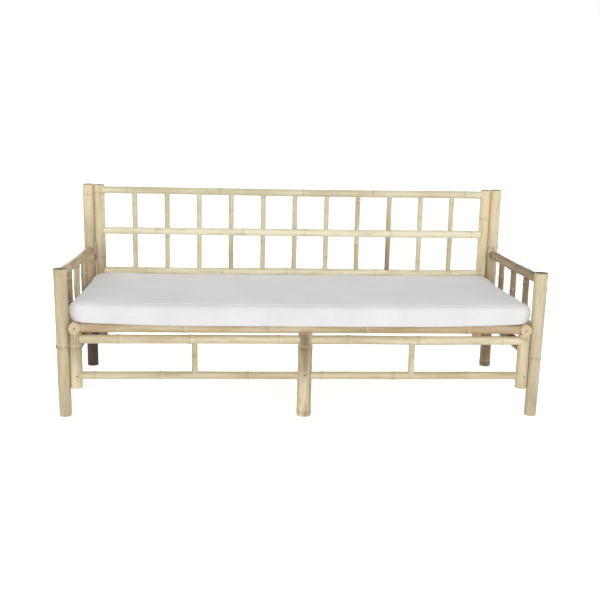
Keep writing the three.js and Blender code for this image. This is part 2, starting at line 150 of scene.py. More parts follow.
CULM_SIDES = 28
STATION = 7 * MM  # mean distance between the rings of a culm's mesh
CROWDING = 0.8  # how strongly the rings crowd together at the nodes, below 1
CROWD_SHIFT = CROWDING / (2 * math.pi)
RIM = 0.8 * MM  # broken edge of a sawn end
RING_REACH = 30 * MM  # a node's swelling fades out this far from it
NODE_SLANT = 3 * MM  # how far a node lies out of square
DRIFT_TURNS = 9.0  # how fast the internodes grow longer and shorter along a culm, in radians
LUMEN_DEPTH = 3.0  # how deep the hollow of a sawn end goes, in radii of the hollow
CAP_RINGS = 6

# Each ring of a sawn end, from the middle out: its radius as shares of (lumen, culm, rim) and its
# depth as shares of (lumen depth, rim).
CAP_RADII = [(0, 0, 0), (0.5, 0, 0), (0.85, 0, 0), (1, 0, 0), (1, 0, 1), (0, 1, -1), (0, 1, 0)]
CAP_DEPTHS = [(1, 0, 0), (1, 0, 0), (1, 0, 0), (0, 1, 0), (0, 0, 0), (0, 0, 0), (0, 1, 0)]

# A node from below to above, as shares of RING_REACH and of the ring's height: the culm swells,
# the sheath's scar is a sharp ledge, then a groove, then the rounded nodal ridge.
NODE_OUTLINE = [
    (-1.0, 0.0), (-0.4, 0.12), (-0.17, 0.42), (-0.06, 1.0), (-0.01, 0.35), (0.08, 0.85),
    (0.27, 0.35), (0.6, 0.08), (1.0, 0.0),
]


def rod_blank(tree, sides, stations):
    """A unit rod along Z whose ends are rings of faces, and the fields that say where a point of it is:
    x, y and z, its share of the radius, the way outwards and which ring of an end it lies on."""
    blank = node(tree, "GeometryNodeMeshCylinder", {
        "Vertices": sides, "Side Segments": stations, "Fill Segments": CAP_RINGS,
        "Radius": 1.0, "Depth": 1.0,
    }, fill_type="TRIANGLE_FAN")
    position = node(tree, "GeometryNodeInputPosition")
    split = node(tree, SEPARATE, {0: position})
    around = node(tree, COMBINE, {"X": split.outputs["X"], "Y": split.outputs["Y"]})
    ring_share = node(tree, VECTOR_MATH, {0: around}, operation="LENGTH").outputs["Value"]
    from_middle = node(tree, MATH, {0: ring_share, 1: float(CAP_RINGS)}, operation="MULTIPLY")
    return SimpleNamespace(
        mesh=blank, x=split.outputs["X"], y=split.outputs["Y"], z=split.outputs["Z"],
        ring_share=ring_share,
        outward=node(tree, VECTOR_MATH, {0: around}, operation="NORMALIZE"),
        cap_ring=node(tree, MATH, {0: from_middle}, operation="ROUND"),
    )


def outline_size(tree, ring, rows, sizes):
    """The size that a ring of an outline takes: its row of shares, times the sizes."""
    row = node(tree, "GeometryNodeIndexSwitch", {"Index": ring}, data_type="VECTOR")
    while len(row.index_switch_items) < len(rows):
        row.index_switch_items.new()
    for i, shares in enumerate(rows, start=1):
        row.inputs[i].default_value = shares
    return node(tree, VECTOR_MATH, {0: row, 1: sizes}, operation="DOT_PRODUCT").outputs["Value"]


def marked_for_finish(tree, geometry, marks):
    """The geometry with fields kept on its points, for its finish to read."""
    for label, kind, value in marks:
        geometry = node(tree, STORE, {"Geometry": geometry, "Name": label, "Value": value},
                        data_type=kind, domain="POINT")
    return geometry


def node_height(tree, distance):
    """The node's outline over the distance along the culm, from 0 to 1."""
    place = node(tree, MAP_RANGE, {0: distance, 1: -RING_REACH, 2: RING_REACH, 3: 0.0, 4: 1.0})
    outline = node(tree, "ShaderNodeFloatCurve", {"Value": place})
    curve = outline.mapping.curves[0]
    for share, height in NODE_OUTLINE[1:-1]:
        curve.points.new((share + 1) / 2, height)
    curve.points[0].location = (0, NODE_OUTLINE[0][1])
    curve.points[-1].location = (1, NODE_OUTLINE[-1][1])
    outline.mapping.update()
    return outline


def along_culm(tree, given, z):
    """Where a ring of the mesh lies on its culm: its place counted in internodes, its share of the
    length, how near the middle it is, and the culm's run, its length and its mean internode."""
    share = node(tree, MAP_RANGE, {0: z, 1: -0.5, 2: 0.5, 3: 0.0, 4: 1.0})
    phase = node(tree, MAP_RANGE, {
        0: share, 1: 0.0, 2: 1.0, 3: given["First phase"], 4: given["Last phase"],
    })
    # This sine draws the mesh's rings towards the nodes.
    turn = node(tree, MATH, {0: phase, 1: 2 * math.pi}, operation="MULTIPLY")
    wave = node(tree, MATH, {0: turn}, operation="SINE")
    draw = node(tree, MATH, {0: wave, 1: -CROWD_SHIFT}, operation="MULTIPLY")
    internode = node(tree, MATH, {0: phase, 1: draw}, operation="ADD")
    even = node(tree, MAP_RANGE, {
        0: internode, 1: given["First internode"], 2: given["Last internode"], 3: 0.0, 4: 1.0,
    })
    # This one makes the internodes longer and shorter, and leaves both ends where they are.
    arch = node(tree, MATH, {0: even, 1: math.pi}, operation="MULTIPLY")
    middle = node(tree, MATH, {0: arch}, operation="SINE")
    beat = node(tree, MATH, {0: even, 1: DRIFT_TURNS, 2: given["Seed"]}, operation="MULTIPLY_ADD")
    sway = node(tree, MATH, {0: beat}, operation="SINE")
    drift = node(tree, MATH, {0: middle, 1: given["Drift"]}, operation="MULTIPLY")
    along = node(tree, MATH, {0: sway, 1: drift, 2: even}, operation="MULTIPLY_ADD")
    run = node(tree, VECTOR_MATH, {0: given["End"], 1: given["Start"]}, operation="SUBTRACT")
    length = node(tree, VECTOR_MATH, {0: run}, operation="LENGTH").outputs["Value"]
    count = node(tree, MATH, {0: given["Last internode"], 1: given["First internode"]},
                 operation="SUBTRACT")
    spacing = node(tree, MATH, {0: length, 1: count}, operation="DIVIDE")
    return SimpleNamespace(share=share, internode=internode, middle=middle, along=along, run=run,
                           length=length, spacing=spacing)


def wall_noise(tree, given, at, outward):
    """Slow unevenness round the wall, the same at every ring of an end."""
    height = node(tree, MATH, {0: at.along, 1: at.length}, operation="MULTIPLY")
    lift = node(tree, MATH, {0: height, 1: 6.0}, operation="MULTIPLY")
    up = node(tree, COMBINE, {"Z": lift})
    place = node(tree, VECTOR_MATH, {0: outward, 1: up}, operation="ADD")
    return node(tree, NOISE, {
        "Vector": place, "W": given["Seed"], "Scale": 0.9, "Detail": 1.0,
    }, noise_dimensions="4D").outputs[0]


def distance_to_node(tree, at, uneven):
    """Distance along the culm to its nearest node, a little slanted round the culm."""
    nearest = node(tree, MATH, {0: at.internode}, operation="ROUND")
    past = node(tree, MATH, {0: at.internode, 1: nearest}, operation="SUBTRACT")
    level = node(tree, MATH, {0: past, 1: at.spacing}, operation="MULTIPLY")
    slant = node(tree, MAP_RANGE, {0: uneven, 1: 0.2, 2: 0.8, 3: -NODE_SLANT, 4: NODE_SLANT})
    return node(tree, MATH, {0: level, 1: slant}, operation="ADD")


def culm_radius(tree, given, at, uneven, distance):
    """The culm's outer radius: its taper, its nodes and its unevenness."""
    wall = node(tree, MAP_RANGE, {
        0: at.along, 1: 0.0, 2: 1.0, 3: given["Start radius"], 4: given["End radius"],
    })
    ring = node(tree, MATH, {0: node_height(tree, distance), 1: given["Ring height"]},
                operation="MULTIPLY")
    ringed = node(tree, MATH, {0: wall, 1: ring}, operation="ADD")
    bulge = node(tree, MAP_RANGE, {0: uneven, 1: 0.2, 2: 0.8, 3: -1.0, 4: 1.0})
    uneven_wall = node(tree, MATH, {0: bulge, 1: given["Unevenness"]}, operation="MULTIPLY")
    return node(tree, MATH, {0: ringed, 1: uneven_wall}, operation="ADD")


def sawn_outline(tree, given, rod, at, radius):
    """The radius of each ring and its depth below the culm's end, with the rim and the hollow."""
    at_end = node(tree, MATH, {0: at.share, 1: 0.5}, operation="GREATER_THAN")
    hollow = node(tree, MAP_RANGE, {
        0: at_end, 1: 0.0, 2: 1.0, 3: given["Start hollow"], 4: given["End hollow"],
    })
    lumen = node(tree, MATH, {0: radius, 1: hollow}, operation="MULTIPLY")
    lumen_depth = node(tree, MATH, {0: lumen, 1: LUMEN_DEPTH}, operation="MULTIPLY")
    radii = node(tree, COMBINE, {"X": lumen, "Y": radius, "Z": RIM})
    depths = node(tree, COMBINE, {"X": lumen_depth, "Y": RIM})
    return (outline_size(tree, rod.cap_ring, CAP_RADII, radii),
            outline_size(tree, rod.cap_ring, CAP_DEPTHS, depths))


def crookedness(tree, given, at):
    """How far the culm wanders off its line: it turns a little at each node, and not at its ends."""
    below = node(tree, MATH, {0: at.internode}, operation="FLOOR")
    above = node(tree, MATH, {0: below, 1: 1.0}, operation="ADD")
    part = node(tree, MATH, {0: at.internode, 1: below}, operation="SUBTRACT")
    leans = [
        node(tree, "FunctionNodeRandomValue", {0: (-1, -1, 0), 1: (1, 1, 0), 7: which, 8: given["Seed"]},
             data_type="FLOAT_VECTOR")
        for which in (below, above)
    ]
    lean = node(tree, MIX, {0: part, 4: leans[0], 5: leans[1]}, data_type="VECTOR")
    strength = node(tree, MATH, {0: at.middle, 1: given["Wander"]}, operation="MULTIPLY")
    return node(tree, VECTOR_MATH, {0: lean.outputs[1], "Scale": strength}, operation="SCALE")


def straight_culm(tree, rod, at, radius, depth):
    """The culm's points before it is bent and placed: its foot at the origin, its length up Z."""
    both_depths = node(tree, MATH, {0: depth, 1: 2.0}, operation="MULTIPLY")
    span = node(tree, MATH, {0: at.length, 1: both_depths}, operation="SUBTRACT")
    rise = node(tree, MATH, {0: at.along, 1: span, 2: depth}, operation="MULTIPLY_ADD")
    across = node(tree, VECTOR_MATH, {0: rod.outward, "Scale": radius}, operation="SCALE")
    up = node(tree, COMBINE, {"Z": rise})
    return node(tree, VECTOR_MATH, {0: across, 1: up}, operation="ADD")


def placed_culm(tree, given, at, straight):
    """The culm's points bent, turned along its run and moved to its start."""
    crooked = node(tree, VECTOR_MATH, {0: straight, 1: crookedness(tree, given, at)}, operation="ADD")
    rotation = node(tree, "FunctionNodeAlignRotationToVector", {"Vector": at.run}, axis="Z")
    turned = node(tree, "FunctionNodeRotateVector", {"Vector": crooked, "Rotation": rotation})
    return node(tree, VECTOR_MATH, {0: turned, 1: given["Start"]}, operation="ADD")


def culm_marks(tree, given, at, straight, distance):
    """What the bamboo's finish reads: the straight culm's own place, its nodes, its tint, its mottle."""
    shift = node(tree, MATH, {0: given["Seed"], 1: 0.37}, operation="MULTIPLY")
    own_place = node(tree, COMBINE, {"X": shift, "Y": shift})
    grain = node(tree, VECTOR_MATH, {0: straight, 1: own_place}, operation="ADD")
    tint = node(tree, MAP_RANGE, {
        0: at.along, 1: 0.0, 2: 1.0, 3: given["Start tint"], 4: given["End tint"],
    }, interpolation_type="SMOOTHERSTEP")
    return [
        ("grain", "FLOAT_VECTOR", grain), ("node_distance", "FLOAT", distance), ("tint", "FLOAT", tint),
        ("mottle", "FLOAT", given["Mottle"]),
    ]


def culm_tree():
    """One bamboo culm between two points: tapered, jointed, slightly crooked, with sawn ends."""
    tree, given = new_tree("bamboo culm", {
        "Start": "Vector", "End": "Vector", "Start radius": "Float", "End radius": "Float",
        "Stations": "Int", "First phase": "Float", "Last phase": "Float",
        "First internode": "Float", "Last internode": "Float",
        "Ring height": "Float", "Wander": "Float", "Unevenness": "Float", "Drift": "Float",
        "Start hollow": "Float", "End hollow": "Float", "Start tint": "Float", "End tint": "Float",
        "Mottle": "Float", "Seed": "Int", "Skin": "Material", "Sawn end": "Material",
    })
    rod = rod_blank(tree, CULM_SIDES, given["Stations"])
    at = along_culm(tree, given, rod.z)
    uneven = wall_noise(tree, given, at, rod.outward)
    distance = distance_to_node(tree, at, uneven)
    outer = culm_radius(tree, given, at, uneven, distance)
    radius, depth = sawn_outline(tree, given, rod, at, outer)
    straight = straight_culm(tree, rod, at, radius, depth)
    marked = marked_for_finish(tree, rod.mesh, culm_marks(tree, given, at, straight, distance))
    shaped = node(tree, "GeometryNodeSetPosition", {
        "Geometry": marked, "Position": placed_culm(tree, given, at, straight),
    })
    real = node(tree, "GeometryNodeRealizeInstances", {"Geometry": shaped})
    skin = node(tree, SET_MATERIAL, {"Geometry": real, "Material": given["Skin"]})
    ends = node(tree, "FunctionNodeBooleanMath", {
        0: rod.mesh.outputs["Top"], 1: rod.mesh.outputs["Bottom"],
    }, operation="OR")
    sawn = node(tree, SET_MATERIAL, {"Geometry": skin, "Selection": ends, "Material": given["Sawn end"]})
    node(tree, "NodeGroupOutput", {0: sawn})
    return tree


def crowded_phase(internode):
    """The phase whose crowded place is this many internodes along, found by repetition."""
    phase = internode
    for _ in range(40):
        phase = internode + CROWD_SHIFT * math.sin(2 * math.pi * phase)
    return phase


def culm_axis(name):
    """A CAD culm's two ends and its radius, from its box. Culms that run to the back fall that way."""
    lo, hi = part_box(name)
    size = hi - lo
    middle = (lo + hi) / 2
    radius = min(size) / 2
    long_way = max(range(3), key=lambda i: size[i])
    start, end = middle.copy(), middle.copy()
    start[long_way], end[long_way] = lo[long_way], hi[long_way]
    if long_way == 1:
        start.z = hi.z - radius
        end.z = lo.z + radius
    return start, end, radius


def culm(name, slot, seed, first, spacing, *, taper=(1, 1), reach=(0, 0), lean=0.0, ring=1.0, wander=1.0,
         uneven=0.5, drift=0.0, hollow=(0.08, 0.08), tint=(0.3, 0.3), mottle=0.55, sawn=None):
    """Grows the culm that stands for a CAD node.

    first is where one of its nodes lies, from its start, and spacing the mean length of its internodes.
    reach lengthens its two ends, lean moves its start along +X, ring is how high its nodes stand,
    wander how far it bends and uneven how far its wall is out of round, all in millimetres. taper is in
    shares of the CAD radius, hollow in shares of the culm's own, and drift makes the internodes unequal.
    """
    start, end, radius = culm_axis(name)
    start.x += lean * MM
    way = (end - start).normalized()
    start, end = start - way * reach[0] * MM, end + way * reach[1] * MM
    length = (end - start).length
    first_internode = -(first + reach[0]) / spacing
    last_internode = first_internode + length / MM / spacing
    piece = grow(name + "_culm", CULM, {
        "Start": start, "End": end, "Start radius": radius * taper[0], "End radius": radius * taper[1],
        "Stations": max(12, round(length / STATION)),
        "First phase": crowded_phase(first_internode), "Last phase": crowded_phase(last_internode),
        "First internode": first_internode, "Last internode": last_internode,
        "Ring height": ring * MM, "Wander": wander * MM, "Unevenness": uneven * MM,
        "Drift": drift, "Start hollow": hollow[0], "End hollow": hollow[1],
        "Start tint": tint[0], "End tint": tint[1], "Mottle": mottle,
        "Seed": seed, "Skin": SKINS[slot], "Sawn end": sawn or SAWN_END,
    })
    settle(piece, "frame", slot, name)


# ---- one tree for pegs, screws, nails and branch stubs ----

FIXING_SIDES = 24
FIXING_STATIONS = 4
NEAR_END = 0.49  # of a unit rod's length: past this a point lies on an end

# Each ring of a fixing, as shares of (head radius, socket radius, shank radius) and of (head height,
# socket depth, shank length): down the shank's side first, then over the head to its middle.
SIDE_RADII = [(0, 0, 0.7), (0, 0, 1), (0, 0, 1), (1, 0, 0), (0.93, 0, 0)]
SIDE_HEIGHTS = [(0, 0, -1), (0, 0, -0.94), (0, 0, 0), (0, 0, 0), (0.6, 0, 0)]
HEAD_RADII = [(0, 0, 0), (0, 0.5, 0), (0, 0.97, 0), (0, 1, 0), (0.4, 0.4, 0), (0.76, 0, 0), (0.93, 0, 0)]
HEAD_HEIGHTS = [(1, -1, 0), (1, -1, 0), (1, -1, 0), (1, 0, 0), (1, 0, 0), (0.88, 0, 0), (0.6, 0, 0)]


def fixing_outline(tree, given, rod, on_head):
    """The radius of each ring of a fixing, and its height over the surface."""
    station = node(tree, MAP_RANGE, {0: rod.z, 1: -0.5, 2: 0.5, 3: 0.0, 4: float(FIXING_STATIONS)})
    side_ring = node(tree, MATH, {0: station}, operation="ROUND")
    widths = node(tree, COMBINE, {
        "X": given["Head radius"], "Y": given["Socket radius"], "Z": given["Shank radius"],
    })
    heights = node(tree, COMBINE, {
        "X": given["Head height"], "Y": given["Socket depth"], "Z": given["Shank length"],
    })
    sizes = []
    for side_rows, head_rows, measures in (
        (SIDE_RADII, HEAD_RADII, widths), (SIDE_HEIGHTS, HEAD_HEIGHTS, heights),
    ):
        side = outline_size(tree, side_ring, side_rows, measures)
        head = outline_size(tree, rod.cap_ring, head_rows, measures)
        sizes.append(node(tree, MIX, {0: on_head, 2: side, 3: head}, data_type="FLOAT").outputs[0])
    return sizes


def socket_flats(tree, given, rod):
    """The six flats of a socket: by how much its corners stand out from the middle."""
    angle = node(tree, MATH, {0: rod.y, 1: rod.x}, operation="ARCTAN2")
    sixth = node(tree, MATH, {0: angle, 1: math.pi / 3}, operation="FLOORED_MODULO")
    off_flat = node(tree, MATH, {0: sixth, 1: math.pi / 6}, operation="SUBTRACT")
    cosine = node(tree, MATH, {0: off_flat}, operation="COSINE")
    corner = node(tree, MATH, {0: math.cos(math.pi / 6), 1: cosine}, operation="DIVIDE")
    inside = node(tree, MATH, {0: rod.cap_ring, 1: 3.5}, operation="LESS_THAN")
    hexed = node(tree, MATH, {0: inside, 1: given["Hexagon"]}, operation="MULTIPLY")
    return node(tree, MIX, {0: hexed, 2: 1.0, 3: corner}, data_type="FLOAT").outputs[0]


def fixing_form(tree, given, rod, on_head):
    """Where the points of one fixing lie, its axis up Z and the surface that it sits on at 0."""
    plain_radius, rise = fixing_outline(tree, given, rod, on_head)
    at_tip = node(tree, MATH, {0: rod.z, 1: -NEAR_END}, operation="LESS_THAN")
    tip_share = node(tree, MIX, {0: at_tip, 2: 1.0, 3: rod.ring_share}, data_type="FLOAT")
    cornered = node(tree, MATH, {0: plain_radius, 1: socket_flats(tree, given, rod)}, operation="MULTIPLY")
    radius = node(tree, MATH, {0: cornered, 1: tip_share.outputs[0]}, operation="MULTIPLY")
    across = node(tree, VECTOR_MATH, {0: rod.outward, "Scale": radius}, operation="SCALE")
    narrowed = node(tree, COMBINE, {"X": given["Oval"], "Y": 1.0, "Z": 1.0})
    oval = node(tree, VECTOR_MATH, {0: across, 1: narrowed}, operation="MULTIPLY")
    up = node(tree, COMBINE, {"Z": rise})
    return node(tree, VECTOR_MATH, {0: oval, 1: up}, operation="ADD")


def fixing_tree():
    """A peg, screw, nail or branch stub at each place, facing the way that the place faces."""
    tree, given = new_tree("fixing", {
        "Places": "Geometry", "Head radius": "Float", "Head height": "Float", "Socket radius": "Float",
        "Socket depth": "Float", "Shank radius": "Float", "Shank length": "Float", "Oval": "Float",
        "Hexagon": "Float", "Head": "Material", "Socket": "Material",
    })
    rod = rod_blank(tree, FIXING_SIDES, FIXING_STATIONS)
    on_head = node(tree, MATH, {0: rod.z, 1: NEAR_END}, operation="GREATER_THAN")
    in_socket = node(tree, MATH, {0: rod.cap_ring, 1: 2.5}, operation="LESS_THAN")
    socket_face = node(tree, MATH, {0: in_socket, 1: on_head}, operation="MULTIPLY")
    marked = marked_for_finish(tree, rod.mesh, [("socket", "FLOAT", socket_face)])
    formed = node(tree, "GeometryNodeSetPosition", {
        "Geometry": marked, "Position": fixing_form(tree, given, rod, on_head),
    })
    facing = node(tree, STORED, {"Name": "facing"}, data_type="FLOAT_VECTOR")
    rotation = node(tree, "FunctionNodeAlignRotationToVector", {"Vector": facing}, axis="Z")
    spread = node(tree, "GeometryNodeInstanceOnPoints", {
        "Points": given["Places"], "Instance": formed, "Rotation": rotation,
    })
    real = node(tree, "GeometryNodeRealizeInstances", {"Geometry": spread})
    head = node(tree, SET_MATERIAL, {"Geometry": real, "Material": given["Head"]})
    is_socket = node(tree, STORED, {"Name": "socket"}, data_type="FLOAT")
    deep = node(tree, MATH, {0: is_socket, 1: 0.6}, operation="GREATER_THAN")
    done = node(tree, SET_MATERIAL, {"Geometry": head, "Selection": deep, "Material": given["Socket"]})
    node(tree, "NodeGroupOutput", {0: done})
    return tree


# ---- slatted deck ----

SLATS = 6
SLAT_WIDTH = 46 * MM
SLAT_THICKNESS = 12 * MM
SLAT_CROWN = 3 * MM
SLAT_INTERNODE = 310 * MM
SLAT_RING = 0.6 * MM
BATTEN_WIDTH = 24 * MM
BATTEN_HEIGHT = 14 * MM
BATTEN_CROWN = 1 * MM
BATTEN_INTERNODE = 270 * MM
BATTEN_LET_IN = 1 * MM
NAIL_OFFSET = 9 * MM  # each crossing has two nails, this far to either side of the slat's middle
NAIL_SINK = 0.3 * MM
SLAT_GRID = (9, 110, 3)  # points across, along and through a slat
SLAT_TINTS = (0.15, 0.7)


def slat_blanks(tree, given):
    """The slats as unit blocks in one place. Each point keeps its own place in its slat and the number
    of the slat, and each face whether it is skin."""
    blank = node(tree, "GeometryNodeMeshCube", {
        "Size": (1, 1, 1), "Vertices X": SLAT_GRID[0], "Vertices Y": SLAT_GRID[1],
        "Vertices Z": SLAT_GRID[2],
    })
    position = node(tree, "GeometryNodeInputPosition")
    measured = marked_for_finish(tree, blank.outputs["Mesh"], [("own", "FLOAT_VECTOR", position)])
    up = node(tree, "GeometryNodeInputNormal")
    upward = node(tree, SEPARATE, {0: up})
    facing_up = node(tree, MATH, {0: upward.outputs["Z"], 1: 0.5}, operation="GREATER_THAN")
    faced = node(tree, STORE, {
        "Geometry": measured, "Name": "skin", "Value": facing_up,
    }, data_type="FLOAT", domain="FACE")
    points = node(tree, "GeometryNodeMeshLine", {"Count": given["Count"], "Offset": (1, 0, 0)})
    spread = node(tree, "GeometryNodeInstanceOnPoints", {"Points": points, "Instance": faced})
    index = node(tree, "GeometryNodeInputIndex")
    counted = node(tree, STORE, {
        "Geometry": spread, "Name": "slat", "Value": index,
    }, data_type="INT", domain="INSTANCE")
    return node(tree, "GeometryNodeRealizeInstances", {"Geometry": counted})


def slat_distance(tree, given, slat, along):
    """Distance along a slat to its nearest node. Each slat starts at another place in its internode."""
    start = node(tree, "FunctionNodeRandomValue", {2: 0.0, 3: 1.0, "ID": slat, "Seed": given["Seed"]},
                 data_type="FLOAT")
    counted = node(tree, MATH, {0: along, 1: given["Internode"]}, operation="DIVIDE")
    internode = node(tree, MATH, {0: counted, 1: start.outputs[1]}, operation="ADD")
    nearest = node(tree, MATH, {0: internode}, operation="ROUND")
    past = node(tree, MATH, {0: internode, 1: nearest}, operation="SUBTRACT")
    return node(tree, MATH, {0: past, 1: given["Internode"]}, operation="MULTIPLY")


def slat_rise(tree, given, own, distance):
    """How high a point of a slat lies: the top is crowned and swells at its nodes."""
    height = node(tree, MATH, {0: own.outputs["Z"], 1: 0.5}, operation="ADD")
    ring = node(tree, MATH, {0: node_height(tree, distance), 1: given["Ring height"]},
                operation="MULTIPLY")
    side = node(tree, MATH, {0: own.outputs["X"], 1: 2.0}, operation="MULTIPLY")
    squared = node(tree, MATH, {0: side, 1: side}, operation="MULTIPLY")
    fall = node(tree, MATH, {0: squared, 1: given["Crown"]}, operation="MULTIPLY")
    top = node(tree, MATH, {0: given["Thickness"], 1: ring}, operation="ADD")
    crowned = node(tree, MATH, {0: top, 1: fall}, operation="SUBTRACT")
    return node(tree, MATH, {0: crowned, 1: height}, operation="MULTIPLY")


def slat_marks(tree, given, slat, own, distance, along, rise):
    """What the bamboo's finish reads on a slat: its own place, its nodes, its tint and its mottle."""
    own_across = node(tree, MATH, {0: own.outputs["X"], 1: given["Width"]}, operation="MULTIPLY")
    strip = node(tree, MATH, {0: slat, 1: 0.73}, operation="MULTIPLY")
    grain_across = node(tree, MATH, {0: own_across, 1: strip}, operation="ADD")
    grain = node(tree, COMBINE, {"X": grain_across, "Y": rise, "Z": along})
    tint = node(tree, "FunctionNodeRandomValue", {
        2: SLAT_TINTS[0], 3: SLAT_TINTS[1], "ID": slat, "Seed": given["Seed"],
    }, data_type="FLOAT")
    return [
        ("grain", "FLOAT_VECTOR", grain), ("node_distance", "FLOAT", distance),
        ("tint", "FLOAT", tint.outputs[1]), ("mottle", "FLOAT", 1.0),
    ]


def deck_tree():
    """A panel of split-bamboo slats along +Y, skin side up, from its low corner."""
    tree, given = new_tree("split bamboo slats", {
        "Corner": "Vector", "Pitch": "Float", "Count": "Int", "Length": "Float", "Width": "Float",
        "Thickness": "Float", "Crown": "Float", "Ring height": "Float", "Internode": "Float",
        "Seed": "Int", "Skin": "Material", "Split face": "Material",
    })
    blanks = slat_blanks(tree, given)
    slat = node(tree, STORED, {"Name": "slat"}, data_type="INT")
    own_place = node(tree, STORED, {"Name": "own"}, data_type="FLOAT_VECTOR")
    own = node(tree, SEPARATE, {0: own_place})
    run = node(tree, MATH, {0: own.outputs["Y"], 1: 0.5}, operation="ADD")
    along = node(tree, MATH, {0: run, 1: given["Length"]}, operation="MULTIPLY")
    distance = slat_distance(tree, given, slat, along)
    rise = slat_rise(tree, given, own, distance)
    row = node(tree, MATH, {0: slat, 1: 0.5}, operation="ADD")
    middle = node(tree, MATH, {0: row, 1: given["Pitch"]}, operation="MULTIPLY")
    across = node(tree, MATH, {0: own.outputs["X"], 1: given["Width"], 2: middle},
                  operation="MULTIPLY_ADD")
    shape = node(tree, COMBINE, {"X": across, "Y": along, "Z": rise})
    placed = node(tree, VECTOR_MATH, {0: shape, 1: given["Corner"]}, operation="ADD")
    marks = slat_marks(tree, given, slat, own, distance, along, rise)
    marked = marked_for_finish(tree, blanks, marks)
    shaped = node(tree, "GeometryNodeSetPosition", {"Geometry": marked, "Position": placed})
    rough = node(tree, SET_MATERIAL, {"Geometry": shaped, "Material": given["Split face"]})
    is_skin = node(tree, STORED, {"Name": "skin"}, data_type="FLOAT")
    on_top = node(tree, MATH, {0: is_skin, 1: 0.5}, operation="GREATER_THAN")
    done = node(tree, SET_MATERIAL, {"Geometry": rough, "Selection": on_top, "Material": given["Skin"]})
    node(tree, "NodeGroupOutput", {0: done})
    return tree


def middle_of(name):
    """The middle of a CAD node's box."""
    return sum(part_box(name), Vector()) / 2


def seat_matrix():
    """The seat's own frame: from the middle of the front seat rail, falling to the rear one."""
    front, rear = (middle_of(f"seat_rail_{end}") for end in ("front", "rear"))
    slope = math.atan2(front.z - rear.z, rear.y - front.y)
    return Matrix.Translation(front) @ Matrix.Rotation(-slope, 4, "X")


def seat_box(name):
    """A CAD node's lowest and highest corners in the seat's own frame."""
    into_seat = SEAT.inverted()
    points = [into_seat @ vertex.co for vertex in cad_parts[name].data.vertices]
    return tuple(Vector(limit(p[i] for p in points) for i in range(3)) for limit in (min, max))


def deck_nails(name, lo, hi):
    """Two nails at each crossing of a slat and a batten."""
    pitch = (hi.x - lo.x) / SLATS
    return grow(name, FIXING, {
        "Head radius": 3.4 * MM, "Head height": 0.9 * MM, "Socket radius": 0.5 * MM,
        "Socket depth": 0.1 * MM, "Shank radius": 1.3 * MM, "Shank length": 18 * MM, "Oval": 1.0,
        "Hexagon": 0.0, "Head": NAIL_STEEL, "Socket": NAIL_STEEL,
    }, [
        ((lo.x + (i + 0.5) * pitch + shift, y, hi.z - NAIL_SINK), (0, 0, 1))
        for i in range(SLATS)
        for shift in (-NAIL_OFFSET, NAIL_OFFSET)
        for y in (lo.y + BATTEN_WIDTH / 2, hi.y - BATTEN_WIDTH / 2)
    ])


def deck_panel(number):
    """One panel: six slats nailed to two battens."""
    name = f"slat_panel_{number}"
    lo, hi = seat_box(name)
    width, length = hi.x - lo.x, hi.y - lo.y
    slat_z = hi.z - SLAT_THICKNESS
    batten_z = slat_z + BATTEN_LET_IN - BATTEN_HEIGHT
    shared = {"Ring height": SLAT_RING, "Seed": number, "Skin": SKINS["slat_bamboo"],
              "Split face": SPLIT_FACE}
    slats = grow(name + "_slats", DECK, {
        **shared, "Corner": (lo.x, lo.y, slat_z), "Pitch": width / SLATS, "Count": SLATS,
        "Length": length, "Width": SLAT_WIDTH, "Thickness": SLAT_THICKNESS, "Crown": SLAT_CROWN,
        "Internode": SLAT_INTERNODE,
    })
    battens = grow(name + "_battens", DECK, {
        **shared, "Corner": (0, 0, 0), "Pitch": length - BATTEN_WIDTH, "Count": 2, "Length": width,
        "Width": BATTEN_WIDTH, "Thickness": BATTEN_HEIGHT, "Crown": BATTEN_CROWN,
        "Internode": BATTEN_INTERNODE,
    })
    lay_across = Matrix.Rotation(-math.pi / 2, 4, "Z")
    first = Vector((lo.x, hi.y - BATTEN_WIDTH / 2 + (length - BATTEN_WIDTH) / 2, batten_z))
    battens.data.transform(Matrix.Translation(first) @ lay_across)
    nails = deck_nails(name + "_nails", lo, hi)
    for piece in (slats, battens, nails):
        piece.data.transform(SEAT)
        settle(piece, "frame", "screw_steel" if piece == nails else "slat_bamboo")
    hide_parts(name)


# ---- finishes ----

WEAVE_STEP = 3 * MM
WEAVE_SCALE = 2 * math.pi / (20 * WEAVE_STEP)  # a wave texture turns 20 radians over one unit


def raise_relief(tree, shader, height, strength, depth):
    """Gives a finish the fine relief that a pattern describes."""
    relief = node(tree, "ShaderNodeBump", {"Strength": strength, "Distance": depth, "Height": height})
    tree.links.new(relief.outputs[0], shader.inputs["Normal"])


def wood_ramp(tree, pattern, dark, light, lightest):
    """Bare wood whose colour follows a pattern, from dark at 0.3 to light."""
    wood = node(tree, "ShaderNodeValToRGB", {"Fac": pattern})
    wood.color_ramp.elements[0].color = linear(dark)
    wood.color_ramp.elements[0].position = 0.3
    wood.color_ramp.elements[1].color = linear(light)
    wood.color_ramp.elements[1].position = lightest
    return wood


